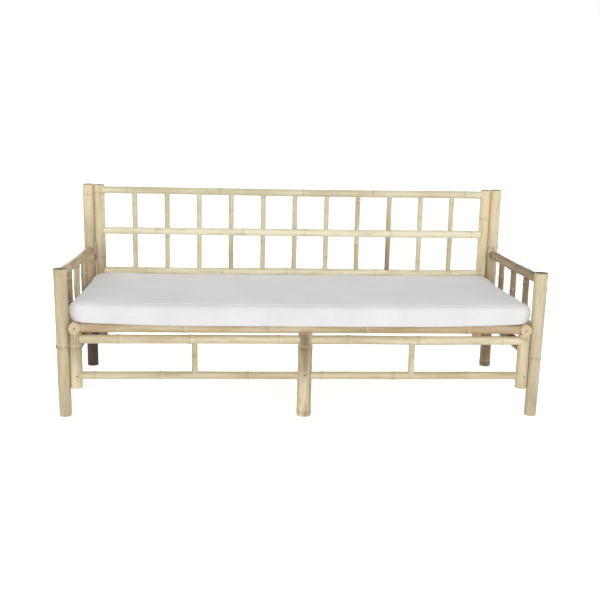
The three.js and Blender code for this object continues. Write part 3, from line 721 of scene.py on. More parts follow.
def skin_tone(tree, tint, mottle, patches, bands, tones):
    """How tan a place is: the culm's tint, moved by the patches and the bands, from pale to umber. On some
    culms the tint also holds painted shade, which darkens them towards umber.
    """
    pale, straw, tan, umber = tones
    drift = node(tree, MAP_RANGE, {0: patches, 1: 0.3, 2: 0.7, 3: -0.42, 4: 0.42})
    streak = node(tree, MAP_RANGE, {0: bands, 1: 0.3, 2: 0.7, 3: -0.22, 4: 0.22})
    moved = node(tree, MATH, {0: drift, 1: streak}, operation="ADD")
    warmer = node(tree, MATH, {0: moved, 1: mottle, 2: tint}, operation="MULTIPLY_ADD")
    darkness = node(tree, MATH, {0: warmer, 1: 0.5}, operation="MULTIPLY", use_clamp=True)
    tone = node(tree, "ShaderNodeValToRGB", {"Fac": darkness})
    tone.color_ramp.elements[0].color = linear(pale)
    tone.color_ramp.elements[1].color = linear(umber)
    tone.color_ramp.elements.new(0.22).color = linear(straw)
    tone.color_ramp.elements.new(0.5).color = linear(tan)
    return tone


def marked_nodes(tree, ring, bands, colour, pale, scar, mark):
    """The nodes drawn over a colour: a pale band above, painted highlight where the nodal ridge catches the
    light, a dark scar line, a softer stain round it.
    """
    # Painted highlight: a pale band centred 9 mm above each node, where the ridge would catch the light.
    above = node(tree, MATH, {0: ring, 1: 9 * MM}, operation="SUBTRACT")
    off_band = node(tree, MATH, {0: above}, operation="ABSOLUTE")
    ridge_highlight = node(tree, MAP_RANGE, {0: off_band, 1: 0.0, 2: 7 * MM, 3: 0.22, 4: 0.0})
    highlighted = node(tree, MIX, {0: ridge_highlight, 6: colour, 7: linear(pale)}, data_type="RGBA")
    off = node(tree, MATH, {0: ring}, operation="ABSOLUTE")
    line = node(tree, MAP_RANGE, {0: off, 1: 0.0, 2: 2.8 * MM, 3: mark, 4: 0.0})
    halo = node(tree, MAP_RANGE, {0: off, 1: 2 * MM, 2: 14 * MM, 3: mark * 0.4, 4: 0.0})
    stain = node(tree, MATH, {0: line, 1: halo}, operation="MAXIMUM")
    broken = node(tree, MAP_RANGE, {0: bands, 1: 0.35, 2: 0.6, 3: 0.45, 4: 1.0})
    marked = node(tree, MATH, {0: stain, 1: broken}, operation="MULTIPLY")
    return node(tree, MIX, {0: marked, 6: highlighted.outputs[2], 7: linear(scar)}, data_type="RGBA").outputs[2]


def bamboo_skin(name, pale, straw, tan, umber, olive, scar, mark):
    """The waxy outer skin of a dried, peeled culm: satin, straw yellow, with long fibre streaks, tan,
    umber and olive weather patches, a painted highlight above each node, and a dark broken line at
    each sheath scar, as strong as mark. A tint of 0 is pale, 1 is tan and 2 is umber; the umber end
    also serves as painted shade on culms that lie in shadow."""
    material, tree, shader = new_material(name, Specular_IOR_Level=0.42, IOR=1.46)
    grain = node(tree, READ, attribute_name="grain").outputs["Vector"]
    ring = node(tree, READ, attribute_name="node_distance").outputs["Fac"]
    tint = node(tree, READ, attribute_name="tint").outputs["Fac"]
    mottle = node(tree, READ, attribute_name="mottle").outputs["Fac"]

    # Fibres 1.6 mm wide, drawn four times as coarse as the real ones so that they show, and bands
    # 9 mm wide, both twenty times as long as they are wide. Patches are 38 mm and flecks 13 mm wide.
    along = node(tree, "ShaderNodeMapping", {"Vector": grain, "Scale": (1, 1, 0.05)})
    fibres = node(tree, NOISE, {"Vector": along, "Scale": 1 / (1.6 * MM), "Detail": 3.0})
    bands = node(tree, NOISE, {"Vector": along, "Scale": 1 / (9 * MM), "Detail": 2.0})
    longer = node(tree, "ShaderNodeMapping", {"Vector": grain, "Scale": (1, 1, 0.16)})
    patches = node(tree, NOISE, {"Vector": longer, "Scale": 1 / (38 * MM), "Detail": 2.5})
    mould = node(tree, NOISE, {"Vector": longer, "Scale": 1 / (13 * MM), "Detail": 4.0})

    # Over the tone lie olive-grey flecks, then fine fibres a few per cent darker or lighter.
    tone = skin_tone(tree, tint, mottle, patches, bands, (pale, straw, tan, umber))
    spots = node(tree, MAP_RANGE, {0: mould, 1: 0.56, 2: 0.74, 3: 0.0, 4: 0.6})
    fleck = node(tree, MATH, {0: spots, 1: mottle}, operation="MULTIPLY", use_clamp=True)
    weathered = node(tree, MIX, {0: fleck, 6: tone, 7: linear(olive)}, data_type="RGBA")
    fine = node(tree, MAP_RANGE, {0: fibres, 1: 0.3, 2: 0.7, 3: 0.88, 4: 1.08})
    fibred = node(tree, MIX, {0: 1.0, 6: weathered.outputs[2], 7: fine},
                  data_type="RGBA", blend_type="MULTIPLY").outputs[2]
    coloured = marked_nodes(tree, ring, bands, fibred, pale, scar, mark)
    tree.links.new(coloured, shader.inputs["Base Color"])

    gloss = node(tree, MAP_RANGE, {0: patches, 1: 0.3, 2: 0.7, 3: 0.4, 4: 0.58})
    dull = node(tree, MATH, {0: gloss, 1: fleck}, operation="MAXIMUM")
    tree.links.new(dull.outputs[0], shader.inputs["Roughness"])
    raise_relief(tree, shader, fibres, 0.35, 0.4 * MM)
    return material


def sawn_bamboo(name, dark, light, vessel):
    """A sawn bamboo end: matt wood, clouded like end grain, full of darker vessel dots. The dots are
    1.6 mm apart, drawn four times as coarse as the real ones so that they show."""
    material, tree, shader = new_material(name, Specular_IOR_Level=0.3, Roughness=0.75)
    grain = node(tree, READ, attribute_name="grain").outputs["Vector"]
    vessels = node(tree, "ShaderNodeTexVoronoi", {"Vector": grain, "Scale": 1 / (1.6 * MM)})
    clouds = node(tree, NOISE, {"Vector": grain, "Scale": 1 / (11 * MM), "Detail": 3.0})
    wood = wood_ramp(tree, clouds, dark, light, 0.7)
    dot = node(tree, MAP_RANGE, {0: vessels.outputs["Distance"], 1: 0.1, 2: 0.45, 3: 0.6, 4: 0.0})
    dotted = node(tree, MIX, {0: dot, 6: wood, 7: linear(vessel)}, data_type="RGBA")
    tree.links.new(dotted.outputs[2], shader.inputs["Base Color"])
    raise_relief(tree, shader, clouds, 0.5, 0.5 * MM)
    return material


def split_bamboo():
    """The split inner face of a bamboo strip: dull, pale and coarsely fibrous, its fibres drawn 2.4 mm
    wide, six times as coarse as the real ones, so that they show."""
    material, tree, shader = new_material("split bamboo face", Specular_IOR_Level=0.3, Roughness=0.8)
    grain = node(tree, READ, attribute_name="grain").outputs["Vector"]
    along = node(tree, "ShaderNodeMapping", {"Vector": grain, "Scale": (1, 1, 0.04)})
    fibres = node(tree, NOISE, {"Vector": along, "Scale": 1 / (2.4 * MM), "Detail": 4.0})
    wood = wood_ramp(tree, fibres, "#b4905c", "#e0c592", 0.72)
    tree.links.new(wood.outputs[0], shader.inputs["Base Color"])
    raise_relief(tree, shader, fibres, 0.6, 0.5 * MM)
    return material


def zinc_steel(name, bright, dull):
    """Zinc-plated steel that has weathered outdoors: grey, half matt, with duller clouds 4 mm wide."""
    material, tree, shader = new_material(name, Metallic=1.0)
    place = node(tree, "ShaderNodeTexCoord").outputs["Object"]
    clouds = node(tree, NOISE, {"Vector": place, "Scale": 1 / (4 * MM), "Detail": 3.0})
    plating = node(tree, MIX, {0: clouds, 6: linear(bright), 7: linear(dull)}, data_type="RGBA")
    tree.links.new(plating.outputs[2], shader.inputs["Base Color"])
    rough = node(tree, MAP_RANGE, {0: clouds, 1: 0.3, 2: 0.7, 3: 0.32, 4: 0.55})
    tree.links.new(rough.outputs[0], shader.inputs["Roughness"])
    return material


def peg_wood(name, light, dark):
    """The end of a hardwood peg or of a healed branch stub: matt brown end grain, mottled every 2 mm. Made
    near black, it also paints the shade inside a stub's hollow.
    """
    material, tree, shader = new_material(name, Roughness=0.8, Specular_IOR_Level=0.25)
    place = node(tree, "ShaderNodeTexCoord").outputs["Object"]
    grain = node(tree, NOISE, {"Vector": place, "Scale": 1 / (2 * MM), "Detail": 3.0})
    wood = node(tree, MIX, {0: grain, 6: linear(light), 7: linear(dark)}, data_type="RGBA")
    tree.links.new(wood.outputs[2], shader.inputs["Base Color"])
    raise_relief(tree, shader, grain, 0.4, 0.3 * MM)
    return material


def plain_weave(tree, place):
    """Threads across each other, from waves along the three axes."""
    x, y, z = (
        node(tree, "ShaderNodeTexWave", {"Vector": place, "Scale": WEAVE_SCALE, "Distortion": 0.4},
             wave_type="BANDS", bands_direction=way).outputs[1]
        for way in ("X", "Y", "Z")
    )
    level = node(tree, MATH, {0: x, 1: y}, operation="MULTIPLY")
    return node(tree, MATH, {0: level, 1: z}, operation="ADD")


def cotton_canvas():
    """Washed white cotton canvas: matt, a plain weave, faintly cloudy, with a soft fuzz at the edges.
    The real threads are 0.5 mm apart; the weave is drawn six times as coarse so that it shows. The
    clouds are 200 mm wide and the slubs, thick places in the thread, 2.4 mm."""
    material, tree, shader = new_material(
        "white cotton canvas", Roughness=0.92, Specular_IOR_Level=0.2, Sheen_Weight=0.25,
        Sheen_Roughness=0.6)
    place = node(tree, "ShaderNodeTexCoord").outputs["Object"]
    clouds = node(tree, NOISE, {"Vector": place, "Scale": 1 / (200 * MM), "Detail": 4.0})
    lengthwise = node(tree, "ShaderNodeMapping", {"Vector": place, "Scale": (0.12, 1, 1)})
    slub = node(tree, NOISE, {"Vector": lengthwise, "Scale": 1 / (2.4 * MM), "Detail": 2.0})
    soft = node(tree, MAP_RANGE, {0: clouds, 1: 0.3, 2: 0.7, 3: 0.0, 4: 1.0})
    cloth = node(tree, MIX, {0: soft, 6: linear("#e6e7e7"), 7: linear("#efeff0")}, data_type="RGBA")
    shade = node(tree, MAP_RANGE, {0: slub, 1: 0.3, 2: 0.7, 3: 0.96, 4: 1.02})
    threaded = node(tree, MIX, {0: 1.0, 6: cloth.outputs[2], 7: shade},
                    data_type="RGBA", blend_type="MULTIPLY")
    tree.links.new(threaded.outputs[2], shader.inputs["Base Color"])
    relief = node(tree, MATH, {0: plain_weave(tree, place), 1: slub}, operation="ADD")
    raise_relief(tree, shader, relief, 0.3, 0.4 * MM)
    return material


CULM = culm_tree()
FIXING = fixing_tree()
DECK = deck_tree()
SEAT = seat_matrix()
SAWN_END = sawn_bamboo("sawn bamboo end", "#cbb58c", "#e4d6b4", "#a08860")
WEATHERED_END = sawn_bamboo("weathered sawn end", "#6e6249", "#a08f6c", "#4c4230")
SPLIT_FACE = split_bamboo()
SCREW_STEEL = zinc_steel("weathered zinc screw", "#a6a6a2", "#7c7b76")
NAIL_STEEL = zinc_steel("dull steel nail", "#8f8d88", "#6a675f")
PEG = peg_wood("hardwood peg", "#a3855c", "#6e5434")
STUB_RIM = peg_wood("healed branch stub", "#b3935f", "#7d6440")
# The hollows' near-black colour is painted shade, standing for the shade inside a hole deeper than the
# stub's 3.5 mm dish.
STUB_HOLLOW_SHADE = peg_wood("branch hollow painted shade", "#4a3822", "#2c2116")
COTTON = cotton_canvas()
SKINS = {
    "leg_bamboo": bamboo_skin(
        "weathered leg bamboo", "#f0dfb9", "#d3c5a5", "#b5a080", "#4d4434", "#85826a", "#74644c", 0.5),
    "rail_bamboo": bamboo_skin(
        "straw rail bamboo", "#f8eed2", "#dccfae", "#c0a781", "#5c4d38", "#9c967a", "#87765a", 0.38),
    "spindle_bamboo": bamboo_skin(
        "golden spindle bamboo", "#ebe3c4", "#d4c8a3", "#aa9678", "#564836", "#8a8568", "#746448", 0.4),
    "slat_bamboo": bamboo_skin(
        "split slat bamboo", "#e3d4ab", "#d4c094", "#b1905f", "#665139", "#938a5f", "#7b6640", 0.6),
}


# ---- the culms ----

SIDES = ("left", "right")

# The tint at the foot of each arm spindle, from front to back: partly each spindle's own colour, partly
# painted shade where the arms' inner sides lie in shadow.
ARM_SPINDLE_TINTS = {"left": (1.5, 0.5, 1.3), "right": (1.4, 1.3, 1.2)}

# The tint at the foot and the head of each spindle in the back, from left to right.
BACK_SPINDLE_TINTS = [
    (0.4, 0.4), (0.3, 0.4), (0.1, 0.1), (0.6, 0.3), (0.3, 0.3), (0.4, 0.2), (0.3, 0.2), (0.6, 0.4),
    (1.2, 0.5), (0.3, 0.4), (0.4, 0.2),
]


def legs_and_posts():
    """Doubled legs at the corners, and the single centre leg."""
    open_top = {"hollow": (0.3, 0.34), "sawn": WEATHERED_END}
    culm("front_leg_left", "leg_bamboo", 11, 290, 330, taper=(0.875, 0.97), lean=3.6, ring=1.8,
         tint=(0.55, 0.6), **open_top)
    culm("front_leg_right", "leg_bamboo", 12, 250, 370, taper=(0.875, 1), lean=-3.6, ring=1.4,
         tint=(0.5, 0.4), **open_top)
    culm("front_post_left", "leg_bamboo", 13, 171, 260, reach=(0, -4.8), ring=2.0, tint=(0.2, 0.9))
    culm("front_post_right", "leg_bamboo", 14, 216, 240, reach=(0, -4.8), ring=2.2, tint=(0.4, 0.3))
    # The dark umber feet of the rear legs and of the left back post are painted shade: the shadow under the
    # seat, fading up each culm.
    culm("rear_leg_left", "leg_bamboo", 15, 212, 310, ring=1.6, tint=(2.0, 0.1), **open_top)
    culm("rear_leg_right", "leg_bamboo", 16, 20, 290, ring=1.6, tint=(1.5, 0.0), **open_top)
    culm("back_post_left", "leg_bamboo", 17, 120, 300, ring=1.4, tint=(1.6, 0.1), **open_top)
    culm("back_post_right", "leg_bamboo", 18, 60, 280, ring=1.4, tint=(0.5, 0.0), **open_top)
    culm("centre_leg", "leg_bamboo", 19, 290, 272, reach=(0, -13), ring=2.0, tint=(0.6, 0.8), mottle=1.5)


def seat_frame():
    """Front, rear and side rails of the seat, and the bearer under the deck."""
    for side, seed in zip(SIDES, (21, 22)):
        culm(f"seat_side_rail_{side}", "rail_bamboo", seed, 200, 285, taper=(1.06, 1), reach=(0, 4),
             hollow=(0.14, 0.08), tint=(0.5, 0.3))
        # The low side rails' dark umber tint is painted shade: they lie in the shadow under the seat.
        culm(f"side_lower_rail_{side}", "rail_bamboo", seed + 2, 150, 270, reach=(4, 4), tint=(1.5, 1.9),
             mottle=1.0)
    # The front seat rail's tint is partly its own tan and partly painted shade from the mattress above it.
    culm("seat_rail_front", "rail_bamboo", 25, 13, 390, ring=1.2, wander=1.5, drift=0.02, tint=(0.8, 0.95))
    culm("seat_rail_rear", "rail_bamboo", 26, 100, 330, wander=1.5, drift=0.03, tint=(0.5, 0.4))
    culm("seat_bearer", "rail_bamboo", 27, 160, 300, tint=(0.5, 0.4))


def apron():
    """The two rails and the short spindles under the front of the seat."""
    for side, seed in zip(SIDES, (31, 32)):
        culm(f"apron_upper_{side}", "rail_bamboo", seed, 150, 325, taper=(0.96, 0.93), ring=1.3,
             wander=2.0, drift=0.03, tint=(0.5, 0.45))
        culm(f"apron_lower_{side}", "rail_bamboo", seed + 2, 60, 300, taper=(0.84, 0.86), ring=1.4,
             wander=2.6, drift=0.04, tint=(0.55, 0.6))
        culm(f"apron_spindle_{side}", "spindle_bamboo", seed + 4, 80, 210, ring=0.8, tint=(0.3, 0.5))


def arms():
    """Arm rails and low side rails with three knobbly spindles between them on each side."""
    # The arm rails' dark tints, the right darker than the left, are partly painted shade: the shadow on
    # their inner sides.
    for side, seed, tint in (("left", 41, 0.95), ("right", 51, 1.45)):
        culm(f"arm_rail_{side}", "rail_bamboo", seed, 170, 235, ring=1.4, wander=2.0, tint=(tint, tint),
             mottle=1.0)
        culm(f"outer_side_rail_{side}", "rail_bamboo", seed + 1, 120, 260, tint=(0.6, 0.7))
        for i, foot in enumerate(ARM_SPINDLE_TINTS[side], start=1):
            culm(f"arm_spindle_{side}_{i}", "spindle_bamboo", seed + 2 + i, 40 + 25 * i, 96, ring=1.6,
                 tint=(foot, 0.8 * foot), mottle=1.0)


def back():
    """Three long rails with eleven spindles, and the low rail between the back posts."""
    culm("back_rail_top", "rail_bamboo", 61, 130, 400, taper=(0.87, 0.97), ring=1.1, wander=3.0,
         drift=0.03, tint=(0.3, 0.35))
    culm("back_rail_middle", "rail_bamboo", 62, 250, 380, taper=(0.88, 0.98), ring=1.2, wander=1.8,
         drift=0.03, tint=(0.0, 0.0))
    culm("back_rail_bottom", "rail_bamboo", 63, 190, 370, taper=(0.93, 0.9), ring=1.1, wander=1.6,
         drift=0.03, tint=(0.2, 0.2))
    culm("rear_lower_rail", "rail_bamboo", 64, 90, 330, wander=2.0, drift=0.04, tint=(0.6, 0.5))
    for i, (foot, head) in enumerate(BACK_SPINDLE_TINTS, start=1):
        culm(f"back_spindle_{i:02d}", "spindle_bamboo", 70 + i, 40 + 61 * i % 200, 205 + 7 * (i % 4),
             ring=0.7, uneven=0.3, tint=(foot, head))


# ---- fixings ----

HEAD_HEIGHT = 5 * MM
SHANK_RADIUS = 4 * MM
PEG_SINK = 1.0 * MM

# The trimmed branch stubs: the culm, the height in mm, the way out, and how deep in mm the stub sits
# inside the plain rod that the culm was drawn from.
STUBS = [
    ("rear_leg_left", 508, (0.3, -1, 0), 0.8),
    ("centre_leg", 300, (0.4, -1, 0), 0.8),
    ("front_leg_left", 292, (-1, -0.35, 0), 4.0),
    ("front_leg_right", 541, (1, -0.2, 0), 1.6),
    ("rear_leg_right", 311, (0.2, 1, 0), 0.8),
    ("back_post_left", 421, (-0.1, 1, 0), 0.8),
]


def screws():
    """Socket-head screws that tie each leg to the post beside it; the heads show on the outer side."""
    names = [f"screw_{end}_{side}_{level}" for end in ("front", "rear") for side in SIDES
             for level in ("low", "high")]
    places = []
    for name in names:
        lo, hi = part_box(name)
        middle = middle_of(name)
        outward = math.copysign(1, middle.x)
        outer = max(abs(lo.x), abs(hi.x)) * outward
        places.append(((outer - outward * HEAD_HEIGHT, middle.y, middle.z), (outward, 0, 0)))
    lo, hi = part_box(names[0])
    piece = grow("leg_screws", FIXING, {
        "Head radius": (hi.z - lo.z) / 2, "Head height": HEAD_HEIGHT, "Socket radius": 3.4 * MM,
        "Socket depth": 2.8 * MM, "Shank radius": SHANK_RADIUS,
        "Shank length": hi.x - lo.x - HEAD_HEIGHT, "Oval": 1.0, "Hexagon": 1.0,
        "Head": SCREW_STEEL, "Socket": SCREW_STEEL,
    }, places)
    settle(piece, "frame", "screw_steel", *names)


def pegs():
    """Wooden pegs that pin the rails' tenons, their ends nearly flush with the culms.

    The front posts are pegged from both faces, the back posts from behind and the centre leg in front.
    """
    places = []
    back_rails = ("back_rail_bottom", "back_rail_middle", "back_rail_top", "rear_lower_rail")
    for side in SIDES:
        for post, rails in (("front_post", (f"apron_lower_{side}",)), ("back_post", back_rails)):
            lo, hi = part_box(f"{post}_{side}")
            for rail in rails:
                x, z = (lo.x + hi.x) / 2 + 4 * MM, middle_of(rail).z + 2 * MM
                places.append(((x, hi.y - PEG_SINK, z), (0, 1, 0)))
                if post == "front_post":
                    places.append(((x, lo.y + PEG_SINK, z), (0, -1, 0)))
    lo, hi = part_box("centre_leg")
    for rail in ("apron_upper_left", "apron_lower_left"):
        places.append((((lo.x + hi.x) / 2, lo.y + PEG_SINK, middle_of(rail).z + 8 * MM), (0, -1, 0)))
    piece = grow("joint_pegs", FIXING, {
        "Head radius": 4.2 * MM, "Head height": 1.4 * MM, "Socket radius": 1 * MM,
        "Socket depth": 0.2 * MM, "Shank radius": 4 * MM, "Shank length": 12 * MM, "Oval": 0.9,
        "Hexagon": 0.0, "Head": PEG, "Socket": PEG,
    }, places)
    settle(piece, "frame", "leg_bamboo")


def branch_stubs():
    """Trimmed branch stubs, an oval callus round a hollow whose near-black colour is painted shade."""
    places = []
    for name, height, way, sink in STUBS:
        lo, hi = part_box(name)
        out = Vector(way).normalized()
        radius = min(hi - lo) / 2 - sink * MM
        axis = Vector(((lo.x + hi.x) / 2, (lo.y + hi.y) / 2, height * MM))
        places.append((axis + out * radius, out))
    piece = grow("branch_stubs", FIXING, {
        "Head radius": 10 * MM, "Head height": 2.2 * MM, "Socket radius": 7 * MM,
        "Socket depth": 3.5 * MM, "Shank radius": 8 * MM, "Shank length": 6 * MM, "Oval": 0.7,
        "Hexagon": 0.0, "Head": STUB_RIM, "Socket": STUB_HOLLOW_SHADE,
    }, places)
    settle(piece, "frame", "leg_bamboo")


legs_and_posts()
seat_frame()
apron()
arms()
back()
for quarter in (1, 2, 3, 4):
    deck_panel(quarter)
screws()
pegs()
branch_stubs()


# ---- mattress ----

MATTRESS_VOXEL = 11 * MM  # with one subdivision after the simulation its faces are half that
MATTRESS_SLACK = 7 * MM  # how much smaller the cut foam is than the filled cover
CORNER_R = 34 * MM
TOP_EDGE_R = 19 * MM
BOTTOM_EDGE_R = 10 * MM
PUFF_LIMIT = 9 * MM
PUFF_FRAMES = 20
DECK_CLEARANCE = 0.6 * MM
RAIL_CLEAR_R = 20.6 * MM  # the front seat rail with its nodes and its bends
RESTING_SHARE = 0.09  # of the height: what lies flat on the deck once the cover is filled
EDGE_ZONE = 150 * MM  # the top falls towards the front and the ends over this far
FRONT_FALL = 4.5 * MM
END_FALL = 3 * MM
BACK_LIFT = 16 * MM
END_BULGE = 18 * MM
FRONT_BULGE = 11 * MM
LIP_DROP = 20 * MM  # the front's lower edge hangs over the rail
LIP_ZONE = 26 * MM
CROWN = 4 * MM
BROAD_WAVES = 1.6 * MM
FINE_FOLDS = 0.7 * MM
SIDE_FOLDS = 1.3 * MM
FOLD_PLACE = Vector((7, 3, 1))  # where in the noise the folds are taken from
RAIL_SHARE = 0.955  # of the half length: past this the mattress lies on a side rail
PRESS = 0.2 * MM  # the least that the cover is pressed up where it rests
SEAM_R = 1.2 * MM
SEAM_STEP = 8 * MM
SEAM_TILT = 0.8  # how far the seam's rays lean up or down, as a share of the way out
SEAM_REACH = 60 * MM
STITCH_STEP = 9 * MM
STITCH_LENGTH = 5 * MM


def finished_by(piece, kind, **settings):
    """Applies one modifier to the piece's mesh."""
    modifier = piece.modifiers.new(kind.lower(), kind)
    for name, value in settings.items():
        setattr(modifier, name, value)
    mesh = evaluated_mesh(piece)
    piece.modifiers.clear()
    piece.data = mesh


def coordinates(mesh):
    """The mesh's points, as an array with a row for each."""
    flat = np.empty(len(mesh.vertices) * 3)
    mesh.vertices.foreach_get("co", flat)
    return flat.reshape(-1, 3)


def foam_block(lo, hi):
    """A box with round corners and edges, a little smaller than the space the mattress fills."""
    shape = bmesh.new()
    bmesh.ops.create_cube(shape, size=1)
    size = hi - lo - 2 * Vector((MATTRESS_SLACK,) * 3)
    bmesh.ops.scale(shape, vec=size, verts=shape.verts)
    bmesh.ops.translate(shape, vec=(lo + hi) / 2, verts=shape.verts)
    upright = [e for e in shape.edges if abs(e.verts[0].co.z - e.verts[1].co.z) > size.z / 2]
    bmesh.ops.bevel(shape, geom=upright, offset=CORNER_R, segments=8, profile=0.5, affect="EDGES")
    for way, radius in ((1, TOP_EDGE_R), (-1, BOTTOM_EDGE_R)):
        level = [e for e in shape.edges if abs(e.verts[0].co.z - e.verts[1].co.z) < size.z / 2]
        outline = [e for e in level if sorted(round(f.normal.z * way) for f in e.link_faces) == [0, 1]]
        bmesh.ops.bevel(shape, geom=outline, offset=radius, segments=6, profile=0.5, affect="EDGES")
    mesh = bpy.data.meshes.new("mattress_cover")
    shape.to_mesh(mesh)
    shape.free()
    piece = bpy.data.objects.new("mattress_cover", mesh)
    bpy.context.scene.collection.objects.link(piece)
    finished_by(piece, "REMESH", mode="VOXEL", voxel_size=MATTRESS_VOXEL, use_smooth_shade=True)
    return piece


def puff(piece):
    """Fills the cover by cloth simulation, with no gravity, and caps how far any point may move."""
    before = coordinates(piece.data)
    cloth = piece.modifiers.new("cloth", "CLOTH")
    cloth.settings.quality = 4
    cloth.settings.mass = 0.3
    cloth.settings.use_pressure = True
    cloth.settings.uniform_pressure_force = 4
    cloth.settings.effector_weights.gravity = 0
    for step in range(1, PUFF_FRAMES + 1):
        bpy.context.scene.frame_set(step)
    after = coordinates(evaluated_mesh(piece))
    piece.modifiers.clear()
    bpy.context.scene.frame_set(1)
    move = after - before
    far = np.linalg.norm(move, axis=1, keepdims=True)
    moved = before + move * np.minimum(1, PUFF_LIMIT / np.maximum(far, 1e-9))
    piece.data.vertices.foreach_set("co", moved.ravel())


def where_in(points, lo, hi):
    """Where each point lies in the space between two corners: its share of the way from the middle to
    an end and to the front or back, its height over what rests, and how far in it is from each edge."""
    middle = (lo + hi) / 2
    across = np.abs(points[:, 0] - middle.x) / (hi.x - middle.x)
    filled = (points[:, 2] - lo.z) / (hi.z - lo.z)
    return SimpleNamespace(
        across=across,
        along=np.abs(points[:, 1] - middle.y) / (hi.y - middle.y),
        height=np.maximum(0, (filled - RESTING_SHARE) / (1 - RESTING_SHARE)),
        side=np.sign(points[:, 0] - middle.x),
        from_front=points[:, 1] - lo.y,
        from_back=hi.y - points[:, 1],
        from_end=(1 - across) * (hi.x - middle.x),
    )


def near(distance, zone):
    """1 at an edge, falling evenly to 0 this far in from it."""
    return np.clip(1 - distance / zone, 0, 1)


def shape_top(points, at, inner, lo, hi, sink):
    """Crowns the top, lets it fall towards the front and the ends, lifts its back and sinks it all."""
    points[:, 2] = lo.z + at.height * (hi.z - lo.z)
    front_fall = FRONT_FALL * near(at.from_front, EDGE_ZONE) ** 2
    end_fall = END_FALL * near(at.from_end, EDGE_ZONE) ** 2
    edges = BACK_LIFT * near(at.from_back, EDGE_ZONE) - np.maximum(front_fall, end_fall)
    points[:, 2] += (CROWN * inner * at.height + edges) * at.height - sink


def fill_out_sides(points, at):
    """Swells the ends and the front, and hangs the front's lower edge over the rail."""
    belly = 4 * at.height * (1 - at.height)
    lip = near(at.from_front, LIP_ZONE) * (1 - at.across ** 6)
    end = near(at.from_end, LIP_ZONE) * (1 - at.along ** 16)
    points[:, 0] += at.side * END_BULGE * end * belly
    points[:, 1] -= FRONT_BULGE * lip * np.maximum(belly, 1 - at.height)
    points[:, 2] -= LIP_DROP * lip * np.clip(1 - 2 * at.height, 0, 1)


def rumple(points, inner, lo, hi):
    """Slight waves and folds in the cloth, none of them where it rests."""
    for point, depth in zip(points, inner):
        broad = noise.noise(Vector(point) * 4.2)
        folds = noise.noise(Vector((point[0] * 11, point[1] * 11, point[2] * 3)) + FOLD_PLACE)
        share = min(1, max(0, (point[2] - lo.z) / (hi.z - lo.z) * 3))
        point[2] += share * (BROAD_WAVES * broad + FINE_FOLDS * folds)
        point[1] += (1 - depth) * SIDE_FOLDS * folds


def clear_the_seat(points, at, lo, slats_top, sink):
    """Keeps the cover off the slats, and off the front seat rail, whose axis is the seat's own X."""
    floor = np.where(at.across > RAIL_SHARE, lo.z, slats_top)
    raised = np.maximum(points[:, 2], np.minimum(floor, lo.z - sink + PRESS))
    points[:, 2] = np.where(points[:, 1] > 0, raised, points[:, 2])
    from_rail = np.hypot(points[:, 1], points[:, 2])
    push = np.maximum(1, RAIL_CLEAR_R / np.maximum(from_rail, 1e-9))
    points[:, 1:] *= push[:, None]


def lay_on_deck(piece, lo, hi):
    """Fits the cover to its space, shapes it as a worn mattress and lets it sink between the side
    rails onto the slats."""
    points = coordinates(piece.data)
    least, most = points.min(axis=0), points.max(axis=0)
    points = np.array(lo) + (points - least) / (most - least) * np.array(hi - lo)
    at = where_in(points, lo, hi)
    inner = (1 - at.across ** 6) * (1 - at.along ** 6)
    slats_top = seat_box("slat_panel_1")[1].z + DECK_CLEARANCE
    sink = (lo.z - slats_top) * (1 - at.across ** 5)
    shape_top(points, at, inner, lo, hi, sink)
    fill_out_sides(points, at)
    rumple(points, inner, lo, hi)
    clear_the_seat(points, at, lo, slats_top, sink)
    piece.data.vertices.foreach_set("co", points.ravel())
    piece.data.update()


def cover_outline(lo, hi):
    """Points round the mattress as it is seen from above, each with the way outwards."""
    middle = (lo + hi) / 2
    half = (hi - lo) / 2
    straight_x, straight_y = half.x - CORNER_R, half.y - CORNER_R
    turns = max(3, round(CORNER_R * math.pi / 2 / SEAM_STEP))
    rounds = []
    for corner, (sx, sy) in enumerate(((1, 1), (-1, 1), (-1, -1), (1, -1))):
        centre = Vector((middle.x + sx * straight_x, middle.y + sy * straight_y, 0))
        for i in range(turns + 1):
            angle = math.pi / 2 * (corner + i / turns)
            out = Vector((math.cos(angle), math.sin(angle), 0))
            rounds.append((centre + out * CORNER_R, out))
        run = 2 * (straight_x if corner % 2 == 0 else straight_y)
        way = Vector((-math.sin(angle), math.cos(angle), 0))
        steps = round(run / SEAM_STEP)
        last, out = rounds[-1]
        rounds += [(last + way * run * i / steps, out) for i in range(1, steps)]
    return rounds


def cover_seam(cover, lo, hi, upward):
    """The places along the seam that joins the side band to the top or bottom panel, found by rays
    cast inwards at the cover's edge."""
    surface = BVHTree.FromObject(cover, bpy.context.evaluated_depsgraph_get())
    edge = TOP_EDGE_R if upward else BOTTOM_EDGE_R
    z = hi.z - edge * 0.4 if upward else lo.z + edge * 0.5
    tilt = Vector((0, 0, 1 if upward else -1))
    places = []
    for point, out in cover_outline(lo, hi):
        aim = (out + tilt * SEAM_TILT).normalized()
        origin = Vector((point.x, point.y, z)) - out * edge * 0.4 + aim * SEAM_REACH
        hit, normal, _, _ = surface.ray_cast(origin, -aim)
        if hit is not None:
            places.append((hit, normal))
    return places


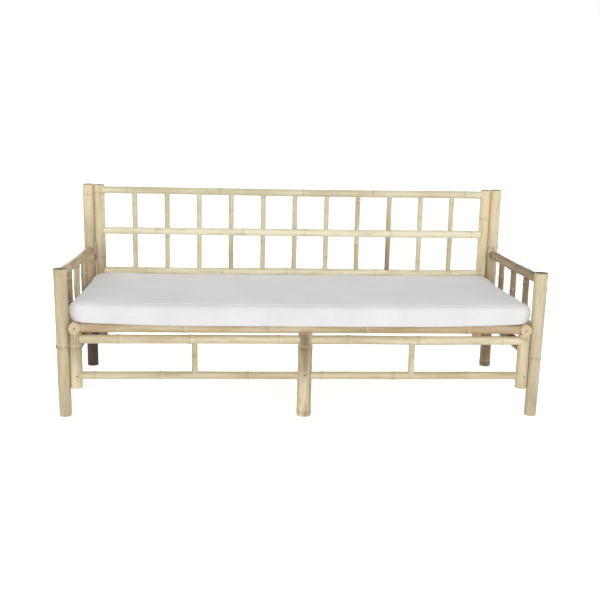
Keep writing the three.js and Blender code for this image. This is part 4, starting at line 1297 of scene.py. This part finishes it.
def seam_tree():
    """A fine self-welt along a closed line of places, with a stitch over it at even steps."""
    tree, given = new_tree("sewn seam", {
        "Places": "Geometry", "Radius": "Float", "Stitch step": "Float", "Stitch length": "Float",
        "Cloth": "Material",
    })
    line = node(tree, "GeometryNodeMeshToCurve", {"Mesh": given["Places"]})
    section = node(tree, "GeometryNodeCurvePrimitiveCircle", {"Resolution": 6, "Radius": given["Radius"]})
    welt = node(tree, "GeometryNodeCurveToMesh", {"Curve": line, "Profile Curve": section.outputs["Curve"]})
    steps = node(tree, "GeometryNodeCurveToPoints", {"Curve": line, "Length": given["Stitch step"]},
                 mode="LENGTH")
    half = node(tree, MATH, {0: given["Stitch length"], 1: 0.5}, operation="MULTIPLY")
    thick = node(tree, MATH, {0: given["Radius"], 1: 0.45}, operation="MULTIPLY")
    size = node(tree, COMBINE, {"X": thick, "Y": thick, "Z": half})
    stitch = node(tree, "GeometryNodeMeshUVSphere", {"Segments": 6, "Rings": 4, "Radius": 1.0})
    sewn = node(tree, "GeometryNodeInstanceOnPoints", {
        "Points": steps.outputs["Points"], "Instance": stitch.outputs["Mesh"],
        "Rotation": steps.outputs["Rotation"], "Scale": size,
    })
    facing = node(tree, STORED, {"Name": "facing"}, data_type="FLOAT_VECTOR")
    lift = node(tree, VECTOR_MATH, {0: facing, "Scale": given["Radius"]}, operation="SCALE")
    raised = node(tree, "GeometryNodeTranslateInstances", {
        "Instances": sewn, "Translation": lift, "Local Space": False,
    })
    both = node(tree, "GeometryNodeJoinGeometry", {"Geometry": welt})
    tree.links.new(raised.outputs[0], both.inputs["Geometry"])
    real = node(tree, "GeometryNodeRealizeInstances", {"Geometry": both})
    done = node(tree, SET_MATERIAL, {"Geometry": real, "Material": given["Cloth"]})
    node(tree, "NodeGroupOutput", {0: done})
    return tree


def mattress():
    """The white box mattress: a cover filled by simulation, and its two sewn edge seams."""
    lo, hi = seat_box("mattress")
    cover = foam_block(lo, hi)
    puff(cover)
    lay_on_deck(cover, lo, hi)
    finished_by(cover, "SUBSURF", levels=1, render_levels=1)
    cover.data.name = "mattress_cover"
    cover.data.materials.clear()
    cover.data.materials.append(COTTON)
    cover.data.shade_smooth()
    seams = []
    for label, upward in (("top", True), ("bottom", False)):
        places = cover_seam(cover, lo, hi, upward)
        seams.append(grow(f"mattress_seam_{label}", SEAM, {
            "Radius": SEAM_R, "Stitch step": STITCH_STEP, "Stitch length": STITCH_LENGTH, "Cloth": COTTON,
        }, places, closed=True))
    for piece in (cover, *seams):
        piece.data.transform(SEAT)
        piece.data.update()
        settle(piece, "mattress", "mattress_cotton")
    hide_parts("mattress")


SEAM = seam_tree()
mattress()


# ---- stage, lights and camera ----

FLOOR_REACH = 40.0  # metres from the middle to each side
FLOOR_GLOW = 0.6  # lifts the floor to the white of the room
FLOOR_FILL = 0.12  # what the floor adds to the light on the daybed
LENS = 54.78  # focal length in mm
CAMERA_PLACE = (-0.2684, -3.9804, 1.2648)
CAMERA_TURN = -3.976  # degrees from straight ahead, to the right
CAMERA_DROP = 12.112  # degrees below the level
CAMERA_ROLL = 1.22


def studio_paper():
    """Matt off-white paper. It glows more for the camera than for the daybed, so that the floor reads
    as white without lighting the daybed from below."""
    material, tree, shader = new_material(
        "pale studio floor", Roughness=0.9, Specular_IOR_Level=0.2, Base_Color=linear("#f6f6f4"),
        Emission_Color=linear("#ffffff"))
    seen = node(tree, "ShaderNodeLightPath").outputs["Is Camera Ray"]
    glow = node(tree, MAP_RANGE, {0: seen, 1: 0.0, 2: 1.0, 3: FLOOR_FILL, 4: FLOOR_GLOW})
    tree.links.new(glow.outputs[0], shader.inputs["Emission Strength"])
    return material


def add_floor():
    """A wide plain floor."""
    mesh = bpy.data.meshes.new("floor")
    corners = [(-FLOOR_REACH, -FLOOR_REACH, 0), (FLOOR_REACH, -FLOOR_REACH, 0),
               (FLOOR_REACH, FLOOR_REACH, 0), (-FLOOR_REACH, FLOOR_REACH, 0)]
    mesh.from_pydata(corners, [], [(0, 1, 2, 3)])
    mesh.materials.append(studio_paper())
    floor = bpy.data.objects.new("floor", mesh)
    bpy.context.scene.collection.objects.link(floor)


def add_softbox(name, place, target, size, power):
    """A rectangular soft light of this size in metres and power in watts, aimed at a target."""
    light = bpy.data.lights.new(name, "AREA")
    light.shape = "RECTANGLE"
    light.size, light.size_y = size
    light.energy = power
    lamp = bpy.data.objects.new(name, light)
    lamp.location = place
    lamp.rotation_euler = (Vector(target) - Vector(place)).to_track_quat("-Z", "Y").to_euler()
    bpy.context.scene.collection.objects.link(lamp)


def add_room_light():
    """A white room whose ceiling is dimmer than its walls."""
    world = bpy.data.worlds.new("white room")
    bpy.context.scene.world = world
    world.use_nodes = True
    tree = world.node_tree
    background = next(n for n in tree.nodes if n.type == "BACKGROUND")
    background.inputs["Color"].default_value = linear("#ffffff")
    direction = node(tree, "ShaderNodeTexCoord").outputs["Generated"]
    height = node(tree, SEPARATE, {0: direction}).outputs["Z"]
    strength = node(tree, MAP_RANGE, {0: height, 1: 0.1, 2: 0.8, 3: 1.0, 4: 0.5})
    tree.links.new(strength.outputs[0], background.inputs["Strength"])


def add_camera():
    """A camera at a standing person's height, a little left of the middle, looking slightly down."""
    data = bpy.data.cameras.new("camera")
    data.sensor_width = 36.0
    data.lens = LENS
    camera = bpy.data.objects.new("camera", data)
    turn = (Matrix.Rotation(math.radians(CAMERA_TURN), 4, "Z")
            @ Matrix.Rotation(math.radians(90 - CAMERA_DROP), 4, "X")
            @ Matrix.Rotation(math.radians(CAMERA_ROLL), 4, "Z"))
    camera.matrix_world = Matrix.Translation(CAMERA_PLACE) @ turn
    bpy.context.scene.collection.objects.link(camera)
    bpy.context.scene.camera = camera


add_floor()
add_room_light()
add_softbox("front softbox", (1.2, -9.0, 2.6), (0, 0, 0.45), (4.0, 3.0), 225)
add_softbox("back fill", (-2.5, 4.5, 2.2), (0, 0, 0.4), (3.0, 2.0), 60)
add_camera()
bpy.context.scene.view_settings.view_transform = "Standard"
